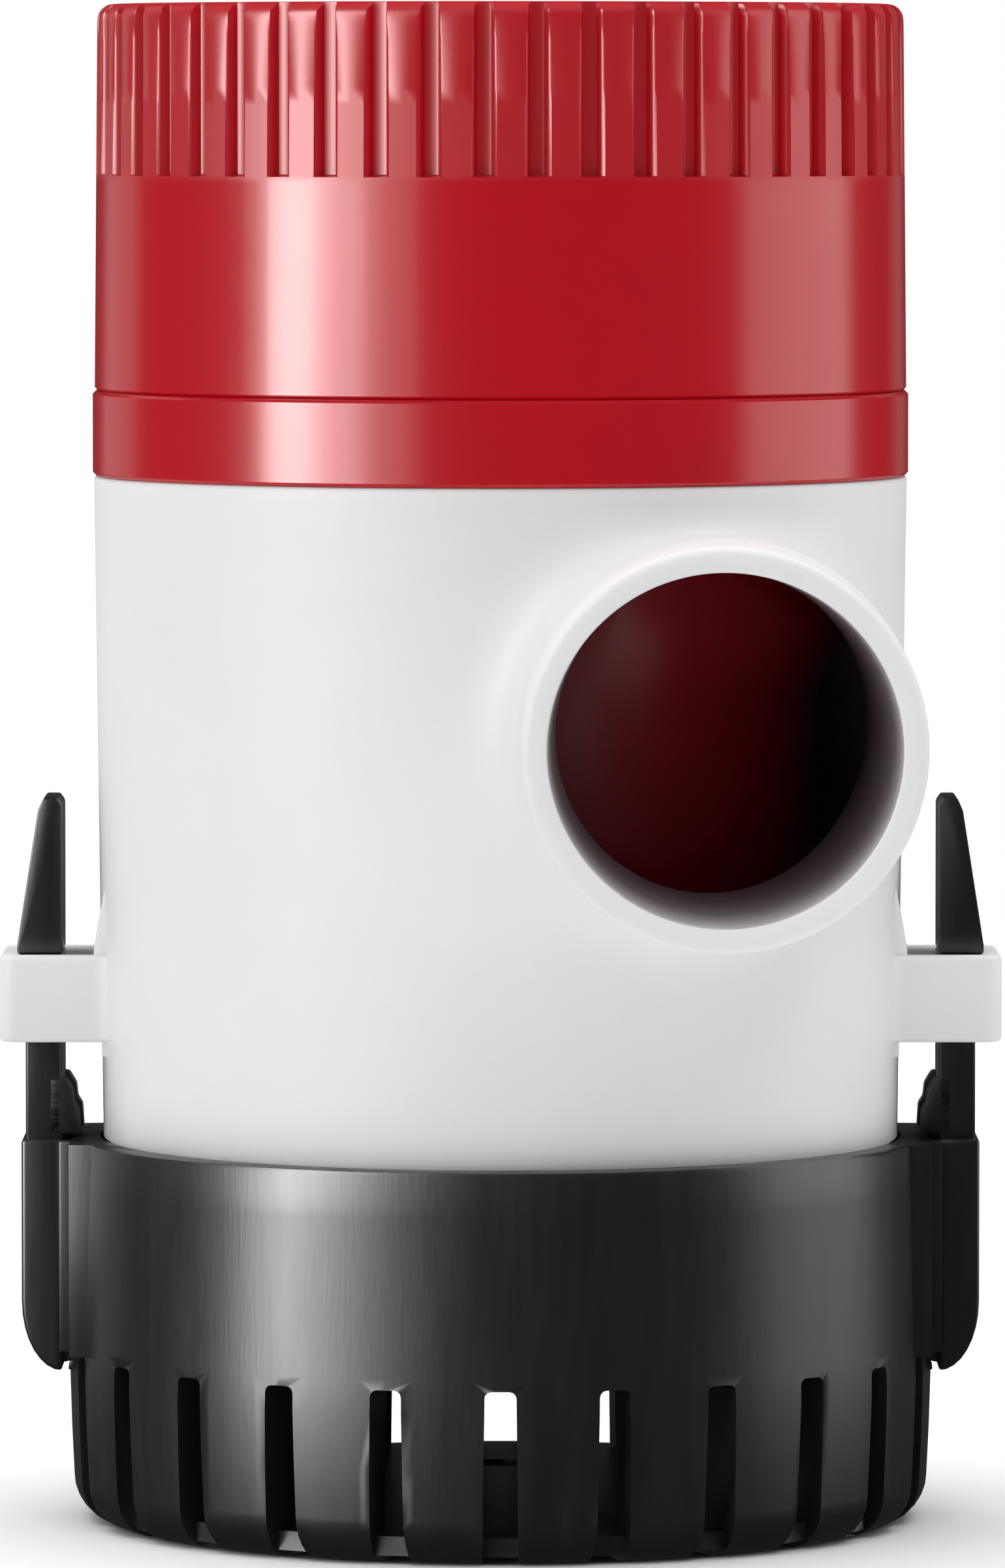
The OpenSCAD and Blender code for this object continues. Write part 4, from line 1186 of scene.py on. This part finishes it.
@dataclass
class Studio:
    """The pale floor, the soft boxes and the camera."""

    lens: float = 263.8
    stand: tuple[float, float, float] = (0.00015, -0.850, 0.1052)
    pitch: float = 3.417
    reach: float = 0.75
    tall: float = 0.75
    floor_half_mm: float = 600
    overhead_watts: float = 32.0
    # The soft boxes: name, azimuth and sweep in degrees, brightness. The left one, brightest at its rear edge,
    # makes the long highlight.
    boxes: tuple[tuple[str, float, float, float], ...] = (
        ("key_rear", -60, 16, 11.0), ("key_mid", -45, 14, 5.0), ("key_front", -31, 14, 1.3),
        ("rim_left", -136, 26, 0.3), ("side_right", 93, 43, 1.25), ("rim_right", 152, 14, 0.1))
    # The fill's brightness from straight behind (0) to straight in front (1) of the pump.
    fill: tuple[Point, ...] = ((0, 0.25), (0.35, 0.355), (1, 0.075))
    fill_level: float = 2.75
    gloss_level: float = 0.04

    def build(self) -> None:
        """Sets the stage."""
        self._camera()
        self._floor()
        self._world()
        self._overhead()
        for name, azimuth, sweep, glow in self.boxes:
            self._box(name, azimuth, sweep, glow)

    def _camera(self) -> None:
        """Puts the camera at eye level, far off with a long lens."""
        data = bpy.data.cameras.new("camera")
        data.lens, data.sensor_width, data.clip_start, data.clip_end = self.lens, 36.0, 0.05, 20.0
        camera = bpy.data.objects.new("camera", data)
        camera.location = self.stand
        camera.rotation_euler = (math.radians(90 - self.pitch), 0, 0)
        bpy.context.scene.collection.objects.link(camera)
        bpy.context.scene.camera = camera

    def _floor(self) -> None:
        """Lays a plain pale floor."""
        bm = bmesh.new()
        bmesh.ops.create_grid(bm, x_segments=8, y_segments=8, size=self.floor_half_mm)
        floor = new_object(bm, "floor")
        # Matt card, with no more than a trace of tone.
        card = Finish("white card", "#F6F6F6", "#F3F3F3", 0.9, patch_mm=300, grain_mm=5)
        floor.data.materials.append(card.material())
        floor.visible_glossy = False

    def _world(self) -> None:
        """Lights the pump softly from all round but straight ahead, with little of it in the gloss, white behind."""
        world = bpy.data.worlds.new("studio")
        world.use_nodes = True
        tree = world.node_tree
        tree.nodes.clear()
        way = add(tree, "TexCoord").outputs["Generated"]
        ahead = add(tree, "VectorMath", {0: way, 1: (0, -1, 0)}, operation="DOT_PRODUCT").outputs["Value"]
        share = add(tree, "MapRange", {"Value": ahead, "From Min": -1.0}).outputs["Result"]
        ramp = add(tree, "ValToRGB", {"Fac": share})
        stops = ramp.color_ramp.elements
        for place, glow in self.fill:
            stop = stops[0] if place == 0 else stops[-1] if place == 1 else stops.new(place)
            stop.position, stop.color = place, (glow, glow, glow, 1)
        across = add(tree, "SeparateXYZ", {"Vector": way}).outputs["X"]
        level = add(tree, "MapRange", {"Value": across, "From Min": -0.8, "From Max": 0.8,
                                                 "To Min": self.fill_level * 1.1, "To Max": self.fill_level * 0.74})
        path = add(tree, "LightPath")
        fill = add(tree, "Background", {"Color": ramp.outputs["Color"], "Strength": level.outputs["Result"]})
        dim = add(tree, "Background", {"Color": (1, 1, 1, 1), "Strength": self.gloss_level})
        # The backdrop is white, as a sheet of paper curved up behind would be.
        seen = add(tree, "Background", {"Color": (1, 1, 1, 1), "Strength": 1.0})
        gloss = add(tree, "MixShader",
                    {0: path.outputs["Is Glossy Ray"], 1: fill.outputs[0], 2: dim.outputs[0]})
        both = add(tree, "MixShader",
                   {0: path.outputs["Is Camera Ray"], 1: gloss.outputs[0], 2: seen.outputs[0]})
        add(tree, "OutputWorld", {"Surface": both.outputs[0]})
        bpy.context.scene.world = world

    def _overhead(self) -> None:
        """Hangs a large soft light above, which brightens the floor and shows in no gloss."""
        data = bpy.data.lights.new("overhead", "AREA")
        data.shape, data.size, data.size_y, data.energy = "RECTANGLE", 2.4, 2.4, self.overhead_watts
        lamp = bpy.data.objects.new("overhead", data)
        lamp.location = (0, -0.2, 1.6)
        lamp.visible_glossy = False
        bpy.context.scene.collection.objects.link(lamp)

    def _box(self, name: str, azimuth: float, sweep: float, glow: float) -> None:
        """Hangs one soft box round the pump.

        Args:
            name: Its name.
            azimuth: Its direction in degrees from straight in front, right positive.
            sweep: The angle that its width covers.
            glow: Its brightness, where 1 shows as white.
        """
        data = bpy.data.lights.new(name, "AREA")
        width = 2 * self.reach * math.tan(math.radians(sweep / 2))
        data.shape, data.size, data.size_y = "RECTANGLE", width, self.tall
        # Watts that give this radiance over the box, times a given factor.
        data.energy = 1.7 * glow * math.pi * width * self.tall
        lamp = bpy.data.objects.new(name, data)
        angle, middle = math.radians(azimuth), 0.06 + self.tall * 0.35
        lamp.location = (math.sin(angle) * self.reach, -math.cos(angle) * self.reach, middle)
        aim = Vector((0, 0, middle)) - lamp.location
        lamp.rotation_euler = aim.to_track_quat("-Z", "Y").to_euler()
        lamp.visible_diffuse = False
        bpy.context.scene.collection.objects.link(lamp)


def main() -> None:
    """Builds the stage and every sub-assembly in order."""
    logging.basicConfig(level=logging.INFO, format="%(message)s")
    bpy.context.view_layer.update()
    bpy.context.scene.view_settings.view_transform = "Standard"
    Studio().build()
    groups = [FlutedCap(), Canister(), CableGrommet(), PumpBody(), StrainerBase(), ClipArm()]
    for group in groups:
        group.build()
    replaced = {name for group in groups for piece in group.made for name in piece.get("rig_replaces", [])}
    InnerWorks().build(replaced)


if __name__ == "__main__":
    main()
